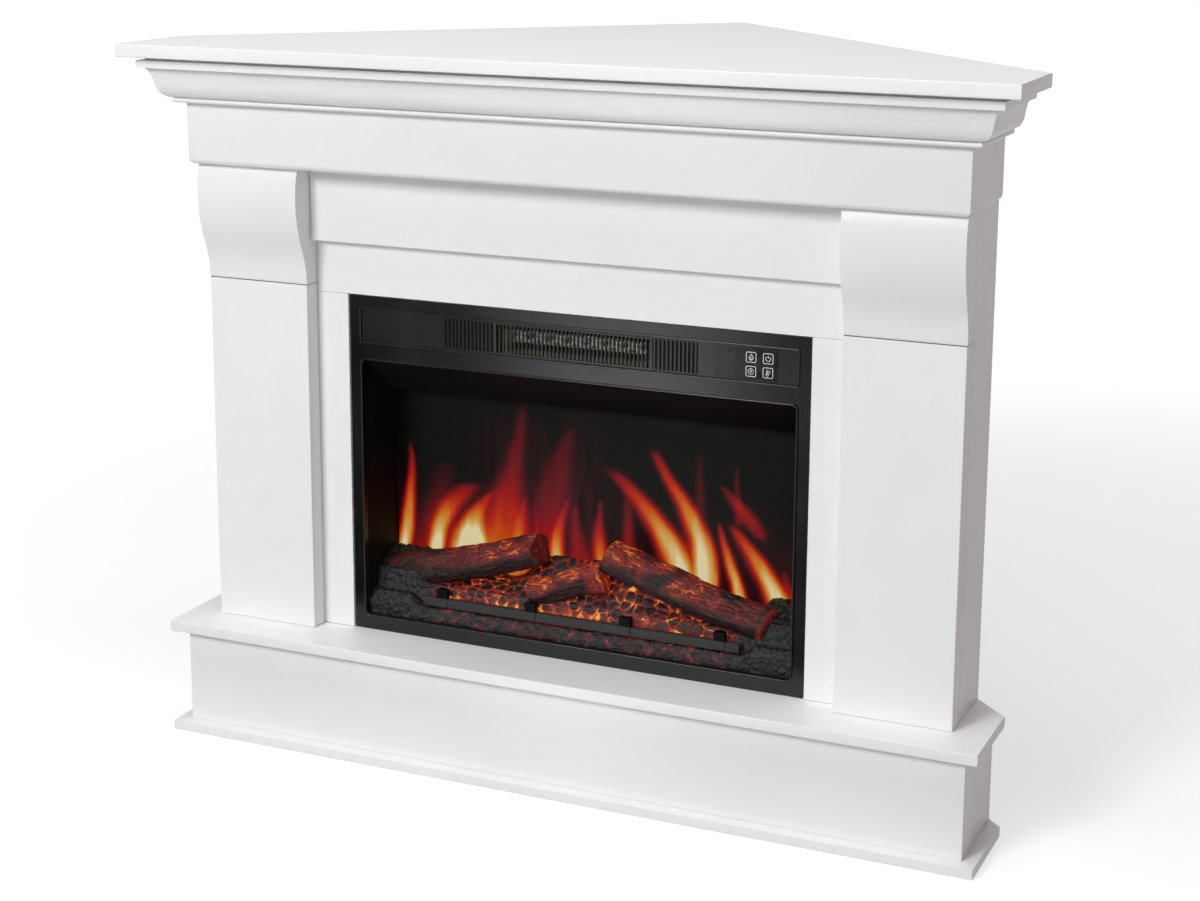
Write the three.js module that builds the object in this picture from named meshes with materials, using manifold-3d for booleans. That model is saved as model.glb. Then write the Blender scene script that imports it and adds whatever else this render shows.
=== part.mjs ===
// Corner electric fireplace: a painted mantel that stands in a room corner, and the heater that slides into it.
// Units are millimetres and +Z is up. The origin is the middle of the footprint, on the floor.
// The front looks along -Y, and two edges at 45 degrees lie against the room's walls and meet at the back.

import * as THREE from 'three';
import { mergeVertices } from 'three/addons/utils/BufferGeometryUtils.js';
import Module from 'manifold-3d';

const wasm = await Module();
wasm.setup();

// ---------- Driving dimensions of the mantel ----------

const GAP = 0.3;                  // clearance between two pieces that touch
const BOARD = 16;                 // thickness of the painted boards
const SHELF_WIDTH = 1090;         // top shelf across its front
const SHELF_RETURN = 139;         // straight side of the top shelf, before the wall edge starts
const MANTEL_HEIGHT = 875;
const SHELF_THICK = 16;
const EDGE_EASE = 1.6;            // small round on shelf and hearth edges

const FRIEZE_DROP = 147;          // lower edge of the deep board under the crown, below the mantel's top
const FRIEZE_FRONT = 57;          // all FRONT values are distances behind the shelf's front edge
const FRIEZE_INSET = 61;          // all INSET values are distances inside the shelf's sides
const FRIEZE_ROUND = 7;           // round on the frieze's lower edge
const CROWN_DROP = 72;
const CROWN_REACH = 42;           // how far the crown's top fillet stands out from the frieze
const CROWN_FILLET = 9;
const CROWN_SHADOW = 4;           // recessed line between the fillet and the shelf
const CROWN_BEAD = 3;

const PILASTER_INSET = 66;        // outer face of the columns
const PILASTER_FRONT = 88;
const PILASTER_THICK = 24;
const STILE_REVEAL = 43;          // strip of board seen between the heater's opening and a column
const CORBEL_HEIGHT = 144;
const CORBEL_SWELL = 23;          // how far the corbel stands out from the column
const HEADER_SHARE = 0.418;       // where the raised header starts between the opening and the frieze
const HEADER_RAISE = 14;

const HEARTH_TOP = 146;
const HEARTH_THICK = 14;
const HEARTH_OVERHANG = 17;       // hearth slab and foot moulding stand out this far from the plinth
const HEARTH_BEHIND = 71.5;       // hearth slab behind the heater's casing
const PLINTH_INSET = 41;
const PLINTH_FRONT = 53;
const FOOT_HEIGHT = 12;
const FOOT_ROUND = 5;

const RAIL_HEIGHT = 50;
const POST_SIDE = 36;
const WALL_INSET = 4;             // frame pieces stay this far inside the shelf's wall edges

// ---------- Driving dimensions of the heater ----------

const INSERT_WIDTH = 591;
const INSERT_HEIGHT = 425.5;
const INSERT_PLAY = 1.5;          // shadow gap between the trim and the boards
const INSERT_RECESS = 1.2;        // trim face behind the boards' face
const TRIM_THICK = 8;
const TRIM_SIDE = 15.5;           // trim's bars beside the viewing opening
const VIEW_BOTTOM = 19;
const VIEW_DROP = 22;             // viewing opening's top below the control strip
const VIEW_CORNER = 6;
const VIEW_LIP = 1.2;             // raised rim round the viewing opening
const STRIP_SIDE = 14.5;          // trim's bars beside the control strip
const STRIP_DROP = 15.5;          // control strip's top below the trim's upper edge
const STRIP_HEIGHT = 42;
const STRIP_CORNER = 1.5;
const STRIP_RECESS = 2;
const STRIP_PLATE = 4;
const CASING_INSET = 11.5;        // casing's sides inside the trim's outer edges
const CASING_DROP = 9.5;
const CASING_DEPTH = 175;
const CASING_LIP = 3;             // shell's rear edge stands this far behind the back sheet
const SHEET = 1.2;                // sheet steel
const SCREEN_SETBACK = 87;        // flame screen behind the trim face
const SCREEN_THICK = 3;
const SCREEN_DROP = 34;           // this and the ceiling's drops are below the viewing opening's top
const KNEE_SETBACK = 66.5;        // where the sloping ceiling of the recess levels out
const KNEE_DROP = 49;
const CEILING_DROP = 55;

const GRILLE_LEFT = -101;
const GRILLE_RIGHT = 104;
const SLOT_PITCH = 5.1;
const SLOT_WIDTH = 3.1;
const SLOT_MARGIN = 2.5;          // strip's edge to the louvre
const SLOT_END = 1.5;             // louvre's edge to the ends of its slots
const RIB_HEIGHT = 1.3;
const LEFT_RIBS_WIDTH = 66;
const TOUCH_MARGIN = 18;          // plain strip between the right ribs and the touch panel
const TOUCH_WIDTH = 74;
const TOUCH_INSET = 25;           // plain strip to the right of the touch panel
const TOUCH_THICK = 2.5;
const TOUCH_PROUD = 0.5;
const CIRCUIT_THICK = 1.6;

const VENT_DROPS = [40, 60, 80];  // levels of the rear vents below the casing's top
const VENT_COLUMNS = 11;
const VENT_PITCH = 34;
const VENT_LENGTH = 24;
const VENT_HEIGHT = 5;
const CORD_INSET = 52;
const CORD_LEVEL = 42;
const CORD_HOLE = 8;

const COIL_LEFT = -86;
const COIL_RIGHT = 88;
const COIL_RADIUS = 6.4;
const COIL_WIRE = 1.5;
const COIL_PITCH = 4.2;
const COIL_SETBACK = 23;
const COIL_STEPS = 8;
const COIL_SIDES = 5;

const DUCT_BACK = 102;
const WHEEL_SETBACK = 127;
const WHEEL_DROP = 16;            // axle below the control strip
const WHEEL_RADIUS = 23;
const WHEEL_BLADES = 22;
const BLADE_DEPTH = 8;
const BLADE_THICK = 1;
const SHAFT_RADIUS = 3;
const SHAFT_PLAY = 0.35;
const SCROLL_PLAY = 4;            // wheel to scroll at its narrowest
const MOTOR_RADIUS = 20;
const MOTOR_LENGTH = 36;
const MOTOR_BORE = 20;
const CORE_REACH = 24;            // motor's iron core, in front of and behind its middle
const CORE_HALF = 15;
const CORE_SETBACK = 8;
const HOUSING_WALL = 2;
const HOUSING_PLAY = 1.5;         // wheel's ends to the housing's end plates

const ROTOR_SETBACK = 131;
const ROTOR_LEVEL = 68;
const ROTOR_INSET = 48;
const ROTOR_SHAFT = 2.2;
const FLAG_COUNT = 16;
const FLAG_REACH = 16;
const FLAG_LENGTH = 20;
const FLAG_THICK = 0.8;
const ROTOR_MOTOR_LENGTH = 34;
const ROTOR_MOTOR_RADIUS = 16;
const CUTTER_SETBACK = 98;
const CUTTER_DROP = 84;
const CUTTER_INSET = 12;
const CUTTER_MARGIN = 30;         // plain plate beside the first and last window
const FLAME_COUNT = 9;            // windows cut in the plate
const FLAME_BASE = 60;
const FLAME_SWELL = 20;
const FLAME_LEAN = 14;
const LAMP_COUNT = 12;

const BED_FRONT = 9;
const BED_BASE = 1.5;
const BAR_INSET = 71;
const BAR_SETBACK = 21;
const BAR_BOTTOM = 34.5;
const BAR_HEIGHT = 11;
const BAR_DEPTH = 8;
const CLIP_HALF = 7;
const CLIP_PROUD = 1.5;
const LOG_RADIUS = 23;
const COAL_LUMP = 2.2;            // height of the small lumps
const COAL_STEP = 12;             // coals behind the bar above its top
const COAL_SLOPE = 10;            // further rise to the screen
const COAL_HEAP = 14;             // heaps at both ends
const COAL_MOUND = 34;            // mound behind the centre log

// ---------- Values worked out from them ----------

const SHELF_HALF = SHELF_WIDTH / 2;
const DEPTH = SHELF_RETURN + SHELF_HALF;
const SHELF_BOTTOM = MANTEL_HEIGHT - SHELF_THICK;
const FRIEZE_HALF = SHELF_HALF - FRIEZE_INSET;
const FRIEZE_BOTTOM = MANTEL_HEIGHT - FRIEZE_DROP;
const CROWN_BOTTOM = MANTEL_HEIGHT - CROWN_DROP;
const CORBEL_BOTTOM = FRIEZE_BOTTOM - CORBEL_HEIGHT;
const PLINTH_HALF = SHELF_HALF - PLINTH_INSET;
const SURROUND_FRONT = PILASTER_FRONT + PILASTER_THICK + GAP;
const HEARTH_HALF = PLINTH_HALF + HEARTH_OVERHANG;
const HEARTH_FRONT = PLINTH_FRONT - HEARTH_OVERHANG;
const HEARTH_BACK = SURROUND_FRONT + INSERT_RECESS + CASING_DEPTH + HEARTH_BEHIND;
const SURROUND_BACK = SURROUND_FRONT + BOARD;
const OPENING_HALF = INSERT_WIDTH / 2 + INSERT_PLAY;
const PILASTER_HALF = SHELF_HALF - PILASTER_INSET;
const PILASTER_INNER = OPENING_HALF + STILE_REVEAL;
const INSERT_FLOOR = HEARTH_TOP + GAP;
const OPENING_TOP = INSERT_FLOOR + INSERT_HEIGHT + INSERT_PLAY;
const HEADER_BOTTOM = OPENING_TOP + (FRIEZE_BOTTOM - OPENING_TOP) * HEADER_SHARE;

const VIEW_WIDTH = INSERT_WIDTH - 2 * TRIM_SIDE;
const STRIP_WIDTH = INSERT_WIDTH - 2 * STRIP_SIDE;
const CASING_WIDTH = INSERT_WIDTH - 2 * CASING_INSET;
const CASING_HEIGHT = INSERT_HEIGHT - CASING_DROP;
const STRIP_TOP = INSERT_HEIGHT - STRIP_DROP;
const STRIP_BOTTOM = STRIP_TOP - STRIP_HEIGHT;
const STRIP_MIDDLE = STRIP_BOTTOM + STRIP_HEIGHT / 2;
const VIEW_TOP = STRIP_BOTTOM - VIEW_DROP;
const SCREEN_TOP = VIEW_TOP - SCREEN_DROP;
const CUTTER_TOP = VIEW_TOP - CUTTER_DROP;
const TOUCH_LEFT = STRIP_WIDTH / 2 - TOUCH_INSET - TOUCH_WIDTH;
const CORD_X = CASING_WIDTH / 2 - CORD_INSET;
const WHEEL_LEVEL = STRIP_BOTTOM - WHEEL_DROP;
const ROTOR_HALF = CASING_WIDTH / 2 - ROTOR_INSET;
const BAR_HALF = VIEW_WIDTH / 2 - BAR_INSET;
const CASING_INNER = CASING_WIDTH / 2 - SHEET;
const CHEEK_INNER = VIEW_WIDTH / 2 + GAP;
const BEHIND_TRIM = TRIM_THICK + GAP;
const BED_BACK = SCREEN_SETBACK - GAP;
const STRIP_BACK = STRIP_RECESS + STRIP_PLATE;
const LOUVRE_BOTTOM = STRIP_BOTTOM + SLOT_MARGIN;
const LOUVRE_TOP = STRIP_TOP - SLOT_MARGIN;
const CASING_FLOOR = SHEET + GAP;
const BACK_SHEET = CASING_DEPTH - CASING_LIP;
const WHEEL_LEFT = GRILLE_LEFT + 2;
const WHEEL_RIGHT = GRILLE_RIGHT - 2;
const POST_REACH = POST_SIDE / Math.SQRT2;
const POST_TIP = DEPTH - WALL_INSET;

// ---------- Finishes ----------

function finish(colour, roughness, metalness = 0) {
  return new THREE.MeshStandardMaterial({ color: colour, roughness, metalness });
}

const whitePaint = finish(0xeeeeee, 0.42);
const rawTimber = finish(0xb49a73, 0.8);
const blackEnamel = finish(0x1d1d1e, 0.45, 0.2);
const mattBlack = finish(0x0c0c0d, 0.8);
const blackPlastic = finish(0x1a1a1b, 0.5);
const galvanised = finish(0x9da1a4, 0.4, 0.8);
const darkGlass = finish(0x0e0e10, 0.12);
const smokedScreen = finish(0x1c1b17, 0.25);
const charredLog = finish(0x3a1c14, 0.85);
const embers = finish(0x7a2410, 0.8);
const heaterWire = finish(0x9a958a, 0.45, 0.7);
const mica = finish(0xcdbf9b, 0.7);
const polishedTin = finish(0xd0d0cc, 0.2, 0.9);
const circuitGreen = finish(0x1f5a38, 0.6);

// ---------- Outlines ----------

function outline(points) {
  return new THREE.Shape(points.map(([a, b]) => new THREE.Vector2(a, b)));
}

function rectangle(a0, b0, a1, b1) {
  return outline([[a0, b0], [a1, b0], [a1, b1], [a0, b1]]);
}

function roundedRectangle(a0, b0, a1, b1, radius) {
  const path = new THREE.Shape();
  path.moveTo(a0 + radius, b0);
  path.lineTo(a1 - radius, b0);
  path.absarc(a1 - radius, b0 + radius, radius, -Math.PI / 2, 0);
  path.lineTo(a1, b1 - radius);
  path.absarc(a1 - radius, b1 - radius, radius, 0, Math.PI / 2);
  path.lineTo(a0 + radius, b1);
  path.absarc(a0 + radius, b1 - radius, radius, Math.PI / 2, Math.PI);
  path.lineTo(a0, b0 + radius);
  path.absarc(a0 + radius, b0 + radius, radius, Math.PI, Math.PI * 1.5);
  return path;
}

// A slot with short slanted corners, which read as round ends at this size.
function slotOutline(middle, width, b0, b1) {
  const half = width / 2;
  const corner = half * 0.6;
  return outline([
    [middle - corner, b0], [middle + corner, b0], [middle + half, b0 + corner], [middle + half, b1 - corner],
    [middle + corner, b1], [middle - corner, b1], [middle - half, b1 - corner], [middle - half, b0 + corner],
  ]);
}

// ---------- Extrusions along each axis ----------

function extruded(shape, depth, curveSegments = 4) {
  return new THREE.ExtrudeGeometry(shape, { depth, bevelEnabled: false, curveSegments });
}

// The outline is (x, y) and the solid runs up from z0 to z1.
function alongZ(shape, z0, z1, curveSegments) {
  return extruded(shape, z1 - z0, curveSegments).translate(0, 0, z0);
}

// The outline is (y, z) and the solid runs from x0 to x1.
function alongX(shape, x0, x1, curveSegments) {
  const turn = new THREE.Matrix4().makeBasis(
    new THREE.Vector3(0, 1, 0), new THREE.Vector3(0, 0, 1), new THREE.Vector3(1, 0, 0));
  return extruded(shape, x1 - x0, curveSegments).applyMatrix4(turn).translate(x0, 0, 0);
}

// The outline is (x, z) and the solid runs from y0 back to y1.
function alongY(shape, y0, y1, curveSegments) {
  const turn = new THREE.Matrix4().makeBasis(
    new THREE.Vector3(1, 0, 0), new THREE.Vector3(0, 0, 1), new THREE.Vector3(0, -1, 0));
  return extruded(shape, y1 - y0, curveSegments).applyMatrix4(turn).translate(0, y1, 0);
}

function box(x0, x1, y0, y1, z0, z1) {
  return new THREE.BoxGeometry(x1 - x0, y1 - y0, z1 - z0)
    .translate((x0 + x1) / 2, (y0 + y1) / 2, (z0 + z1) / 2);
}

// A shelf with its edges eased, lying between two levels.
function easedSlab(shape, z0, z1) {
  const settings = {
    depth: z1 - z0 - 2 * EDGE_EASE, bevelEnabled: true, bevelSegments: 2, curveSegments: 4,
    bevelThickness: EDGE_EASE, bevelSize: EDGE_EASE, bevelOffset: -EDGE_EASE,
  };
  return new THREE.ExtrudeGeometry(shape, settings).translate(0, 0, z0 + EDGE_EASE);
}

// ---------- Joining and cutting ----------

function toSolid(geometry) {
  const bare = geometry.clone();
  bare.deleteAttribute('normal');
  bare.deleteAttribute('uv');
  const merged = mergeVertices(bare, 1e-4);
  return new wasm.Manifold(new wasm.Mesh({
    numProp: 3,
    vertProperties: new Float32Array(merged.attributes.position.array),
    triVerts: new Uint32Array(merged.index.array),
  }));
}

function toGeometry(solid) {
  const mesh = solid.getMesh();
  const geometry = new THREE.BufferGeometry();
  geometry.setAttribute('position', new THREE.BufferAttribute(mesh.vertProperties, 3));
  geometry.setIndex(new THREE.BufferAttribute(mesh.triVerts, 1));
  geometry.computeVertexNormals();
  return geometry;
}

function join(...geometries) {
  return toGeometry(geometries.map(toSolid).reduce((sum, solid) => sum.add(solid)));
}

function cut(geometry, ...cutters) {
  return toGeometry(cutters.map(toSolid).reduce((rest, solid) => rest.subtract(solid), toSolid(geometry)));
}

// A plate facing the front, with windows cut right through it.
function piercedPlate(shape, windows, y0, y1, curveSegments) {
  const cutters = windows.map((window) => alongY(window, y0 - 1, y1 + 1, curveSegments));
  return cut(alongY(shape, y0, y1, curveSegments), ...cutters);
}

// A closed skin over rings of points, joined side to side. Both ends are capped at their middle.
function skinRings(rings) {
  const sides = rings[0].length;
  const positions = rings.flat().flatMap((point) => [point.x, point.y, point.z]);
  const indices = [];
  for (let ring = 0; ring + 1 < rings.length; ring += 1) {
    for (let side = 0; side < sides; side += 1) {
      const next = (side + 1) % sides;
      const low = ring * sides;
      const high = low + sides;
      indices.push(low + side, low + next, high + side);
      indices.push(low + next, high + next, high + side);
    }
  }
  for (const end of [0, rings.length - 1]) {
    const middle = new THREE.Vector3();
    rings[end].forEach((point) => middle.addScaledVector(point, 1 / sides));
    const centre = positions.length / 3;
    positions.push(middle.x, middle.y, middle.z);
    for (let side = 0; side < sides; side += 1) {
      const here = end * sides + side;
      const next = end * sides + (side + 1) % sides;
      indices.push(...(end === 0 ? [centre, next, here] : [centre, here, next]));
    }
  }
  const geometry = new THREE.BufferGeometry();
  geometry.setAttribute('position', new THREE.Float32BufferAttribute(positions, 3));
  geometry.setIndex(indices);
  geometry.computeVertexNormals();
  return geometry;
}

// A tube of round section along a list of points, with its frame carried along so that it never twists.
function tubeAlong(points, radius, sides) {
  const normal = new THREE.Vector3(0, 0, 1);
  const rings = points.map((point, index) => {
    const before = points[Math.max(index - 1, 0)];
    const after = points[Math.min(index + 1, points.length - 1)];
    const tangent = after.clone().sub(before).normalize();
    normal.addScaledVector(tangent, -normal.dot(tangent)).normalize();
    const across = tangent.clone().cross(normal);
    return Array.from({ length: sides }, (_, side) => {
      const angle = (side / sides) * Math.PI * 2;
      return point.clone()
        .addScaledVector(normal, radius * Math.cos(angle))
        .addScaledVector(across, radius * Math.sin(angle));
    });
  });
  return skinRings(rings);
}

function cylinderAlongX(x0, x1, y, z, radius, segments = 24) {
  return new THREE.CylinderGeometry(radius, radius, x1 - x0, segments)
    .rotateZ(-Math.PI / 2)
    .translate((x0 + x1) / 2, y, z);
}

// ---------- Mantel mouldings that wrap the front and both sides ----------

// The plane of the room's walls: how far back a point may lie at this distance from the middle.
function wallLine(distance) {
  return DEPTH - WALL_INSET - Math.abs(distance);
}

// One run of a moulding. Its profile is (reach outwards from the base rectangle, level).
// The front run has a mitre at both ends, and a side run has a mitre in front and the wall's bevel behind.
function mouldingRun(side, profile, half, front) {
  const trim = GAP / 2;
  const contour = profile.map(([reach, level]) => new THREE.Vector2(reach, level));
  if (THREE.ShapeUtils.isClockWise(contour)) contour.reverse();
  const ends = {
    front: [
      (p) => [-(half + p.x) + trim, front - p.x, p.y],
      (p) => [half + p.x - trim, front - p.x, p.y],
    ],
    left: [
      (p) => [-(half + p.x), wallLine(half + p.x), p.y],
      (p) => [-(half + p.x), front - p.x + trim, p.y],
    ],
    right: [
      (p) => [half + p.x, front - p.x + trim, p.y],
      (p) => [half + p.x, wallLine(half + p.x), p.y],
    ],
  }[side];
  const count = contour.length;
  const positions = ends.flatMap((place) => contour.flatMap((p) => place(p)));
  const indices = [];
  for (let i = 0; i < count; i += 1) {
    const next = (i + 1) % count;
    indices.push(i, count + i, next);
    indices.push(next, count + i, count + next);
  }
  for (const [a, b, c] of THREE.ShapeUtils.triangulateShape(contour, [])) {
    indices.push(a, b, c);
    indices.push(count + a, count + c, count + b);
  }
  const geometry = new THREE.BufferGeometry();
  geometry.setAttribute('position', new THREE.Float32BufferAttribute(positions, 3));
  geometry.setIndex(indices);
  return facingOut(geometry);
}

function facingOut(geometry) {
  const position = geometry.attributes.position;
  const index = geometry.index;
  const [a, b, c] = [new THREE.Vector3(), new THREE.Vector3(), new THREE.Vector3()];
  let volume = 0;
  for (let i = 0; i < index.count; i += 3) {
    a.fromBufferAttribute(position, index.getX(i));
    b.fromBufferAttribute(position, index.getX(i + 1));
    c.fromBufferAttribute(position, index.getX(i + 2));
    volume += a.dot(b.cross(c));
  }
  if (volume < 0) index.array.reverse();
  geometry.computeVertexNormals();
  return geometry;
}

// Points of an outline with arcs and curves in it, without the repeated last point.
function profilePoints(shape, divisions) {
  const points = shape.getPoints(divisions).map((p) => [p.x, p.y]);
  const [first, last] = [points[0], points[points.length - 1]];
  const closed = Math.hypot(first[0] - last[0], first[1] - last[1]) < 1e-6;
  return closed ? points.slice(0, -1) : points;
}

// Small bead, round belly, hollow throat, square fillet, and a recess that draws a shadow line under the shelf.
function crownProfile() {
  const filletTop = SHELF_BOTTOM - CROWN_SHADOW;
  const filletBottom = filletTop - CROWN_FILLET;
  const beadTop = CROWN_BOTTOM + 2 * CROWN_BEAD;
  const beadReach = CROWN_REACH * 0.24;
  const bellyReach = CROWN_REACH * 0.66;
  const throatReach = CROWN_REACH * 0.86;
  const middle = beadTop + (filletBottom - beadTop) * 0.55;
  const shape = new THREE.Shape();
  shape.moveTo(GAP, CROWN_BOTTOM);
  shape.lineTo(beadReach, CROWN_BOTTOM);
  shape.absarc(beadReach, CROWN_BOTTOM + CROWN_BEAD, CROWN_BEAD, -Math.PI / 2, Math.PI / 2);
  shape.bezierCurveTo(beadReach + CROWN_REACH * 0.3, beadTop, bellyReach - 1, middle - 8, bellyReach, middle);
  shape.bezierCurveTo(bellyReach + 1, middle + 5, throatReach - 4, filletBottom - 1, throatReach, filletBottom);
  shape.lineTo(CROWN_REACH, filletBottom);
  shape.lineTo(CROWN_REACH, filletTop);
  shape.lineTo(CROWN_REACH - 2 * CROWN_SHADOW, filletTop);
  shape.lineTo(CROWN_REACH - 2 * CROWN_SHADOW, SHELF_BOTTOM - GAP);
  shape.lineTo(GAP, SHELF_BOTTOM - GAP);
  return profilePoints(shape, 6);
}

function friezeProfile() {
  const shape = new THREE.Shape();
  shape.moveTo(-BOARD, FRIEZE_BOTTOM);
  shape.lineTo(-FRIEZE_ROUND, FRIEZE_BOTTOM);
  shape.absarc(-FRIEZE_ROUND, FRIEZE_BOTTOM + FRIEZE_ROUND, FRIEZE_ROUND, -Math.PI / 2, 0);
  shape.lineTo(0, SHELF_BOTTOM - GAP);
  shape.lineTo(-BOARD, SHELF_BOTTOM - GAP);
  return profilePoints(shape, 4);
}

function plinthProfile() {
  return [[-BOARD, FOOT_HEIGHT + GAP], [0, FOOT_HEIGHT + GAP], [0, HEARTH_TOP - HEARTH_THICK - GAP],
    [-BOARD, HEARTH_TOP - HEARTH_THICK - GAP]];
}

function footProfile() {
  const shape = new THREE.Shape();
  shape.moveTo(-BOARD, 0);
  shape.lineTo(HEARTH_OVERHANG, 0);
  shape.lineTo(HEARTH_OVERHANG, FOOT_HEIGHT - FOOT_ROUND);
  shape.absarc(HEARTH_OVERHANG - FOOT_ROUND, FOOT_HEIGHT - FOOT_ROUND, FOOT_ROUND, 0, Math.PI / 2);
  shape.lineTo(-BOARD, FOOT_HEIGHT);
  return profilePoints(shape, 4);
}

// ---------- Mantel boards ----------

function topShelf() {
  const plan = [[-SHELF_HALF, 0], [SHELF_HALF, 0], [SHELF_HALF, SHELF_RETURN],
    [0, DEPTH], [-SHELF_HALF, SHELF_RETURN]];
  return easedSlab(outline(plan), SHELF_BOTTOM, MANTEL_HEIGHT);
}

function hearthSlab() {
  const backHalf = wallLine(HEARTH_BACK);
  const plan = [[-HEARTH_HALF, HEARTH_FRONT], [HEARTH_HALF, HEARTH_FRONT], [HEARTH_HALF, wallLine(HEARTH_HALF)],
    [backHalf, HEARTH_BACK], [-backHalf, HEARTH_BACK], [-HEARTH_HALF, wallLine(HEARTH_HALF)]];
  return easedSlab(outline(plan), HEARTH_TOP - HEARTH_THICK, HEARTH_TOP);
}

// Closes the underside of the frieze, between its boards and the header behind them.
function friezeSoffit() {
  const inner = FRIEZE_HALF - BOARD - GAP;
  const front = FRIEZE_FRONT + BOARD + GAP;
  return box(-inner, inner, front, SURROUND_BACK, FRIEZE_BOTTOM + GAP, FRIEZE_BOTTOM + BOARD);
}

// Bracket block under the frieze. Its face swells near the top and runs down in an S to the column's face.
function corbel(side) {
  const top = FRIEZE_BOTTOM - GAP;
  const bottom = CORBEL_BOTTOM + GAP;
  const back = PILASTER_FRONT + PILASTER_THICK;
  const at = (swell, drop) => [PILASTER_FRONT - CORBEL_SWELL * swell, top - (top - bottom) * drop];
  const shape = new THREE.Shape();
  shape.moveTo(back, top);
  shape.lineTo(...at(0.72, 0));
  shape.bezierCurveTo(...at(0.96, 0.1), ...at(1.02, 0.24), ...at(0.935, 0.38));
  shape.bezierCurveTo(...at(0.74, 0.66), ...at(0.065, 0.72), ...at(0, 0.98));
  shape.lineTo(PILASTER_FRONT + 1, bottom);
  shape.lineTo(back, bottom);
  const outer = side * PILASTER_HALF;
  const inner = side * PILASTER_INNER;
  return alongX(shape, Math.min(outer, inner), Math.max(outer, inner), 8);
}

function pilasterFace(side) {
  const ease = 1;
  const [x0, x1] = [PILASTER_INNER * side, PILASTER_HALF * side].sort((p, q) => p - q);
  const back = PILASTER_FRONT + PILASTER_THICK;
  const plan = [[x0 + ease, PILASTER_FRONT], [x1 - ease, PILASTER_FRONT], [x1, PILASTER_FRONT + ease],
    [x1, back], [x0, back], [x0, PILASTER_FRONT + ease]];
  return alongZ(outline(plan), HEARTH_TOP + GAP, CORBEL_BOTTOM - GAP);
}

// Outer side of the column, from the face board back to the wall, where it is bevelled to lie flat.
function pilasterSide(side) {
  const inner = PILASTER_HALF - BOARD;
  const plan = [[side * inner, SURROUND_FRONT], [side * PILASTER_HALF, SURROUND_FRONT],
    [side * PILASTER_HALF, wallLine(PILASTER_HALF)], [side * inner, wallLine(inner)]];
  if (side < 0) plan.reverse();
  return alongZ(outline(plan), HEARTH_TOP + GAP, FRIEZE_BOTTOM - GAP);
}

function surroundStile(side) {
  const outer = PILASTER_HALF - BOARD - GAP;
  const [x0, x1] = [OPENING_HALF * side, outer * side].sort((p, q) => p - q);
  return box(x0, x1, SURROUND_FRONT, SURROUND_BACK, HEARTH_TOP + GAP, OPENING_TOP - GAP);
}

function headerLower() {
  const outer = PILASTER_HALF - BOARD - GAP;
  return box(-outer, outer, SURROUND_FRONT, SURROUND_BACK, OPENING_TOP, FRIEZE_BOTTOM - GAP);
}

function headerUpper() {
  const half = PILASTER_INNER - GAP;
  const face = SURROUND_FRONT - HEADER_RAISE;
  const ease = 1;
  const profile = [[face + ease, HEADER_BOTTOM], [SURROUND_FRONT - GAP, HEADER_BOTTOM],
    [SURROUND_FRONT - GAP, FRIEZE_BOTTOM - GAP], [face, FRIEZE_BOTTOM - GAP], [face, HEADER_BOTTOM + ease]];
  return alongX(outline(profile), -half, half);
}

// ---------- Frame behind the mantel, along the two walls ----------

function rearPost() {
  const plan = [[0, POST_TIP], [-POST_REACH, POST_TIP - POST_REACH], [0, POST_TIP - 2 * POST_REACH],
    [POST_REACH, POST_TIP - POST_REACH]];
  return alongZ(outline(plan), 0, SHELF_BOTTOM - GAP);
}

// A rail on edge along one wall, from a side board's inner face to the rear post.
function wallRail(side, frontHalf, z0, z1) {
  const slant = BOARD / Math.SQRT2;
  const near = POST_REACH + GAP;
  const far = frontHalf - GAP;
  const plan = [[side * near, wallLine(near)], [side * (near - slant), wallLine(near) - slant],
    [side * far, wallLine(far) - 2 * slant], [side * far, wallLine(far)]];
  if (side < 0) plan.reverse();
  return alongZ(outline(plan), z0, z1);
}

// ---------- Heater: everything below is in its own frame, from the trim's face and lower edge ----------

function trimFrame() {
  const half = INSERT_WIDTH / 2;
  const plate = roundedRectangle(-half, 0, half, INSERT_HEIGHT, 2);
  const view = [-VIEW_WIDTH / 2, VIEW_BOTTOM, VIEW_WIDTH / 2, VIEW_TOP];
  const viewWindow = roundedRectangle(...view, VIEW_CORNER);
  const strip = [-STRIP_WIDTH / 2, STRIP_BOTTOM, STRIP_WIDTH / 2, STRIP_TOP];
  const stripWindow = roundedRectangle(...strip, STRIP_CORNER);
  const grow = VIEW_LIP * 1.6;
  const rimEdges = [view[0] - grow, view[1] - grow, view[2] + grow, view[3] + grow];
  const rim = roundedRectangle(...rimEdges, VIEW_CORNER + grow);
  return join(
    piercedPlate(plate, [viewWindow, stripWindow], VIEW_LIP, TRIM_THICK, 5),
    piercedPlate(rim, [viewWindow], 0, TRIM_THICK - 1, 5));
}

// Rows of upright ribs share the grille's pitch, so that the strip reads as one long louvre.
function ribs(x0, width) {
  const bar = SLOT_PITCH - SLOT_WIDTH;
  return Array.from({ length: Math.floor(width / SLOT_PITCH) }, (_, i) => {
    const x = x0 + i * SLOT_PITCH;
    return box(x, x + bar, STRIP_RECESS - RIB_HEIGHT, STRIP_RECESS + 1, LOUVRE_BOTTOM, LOUVRE_TOP);
  });
}

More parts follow.
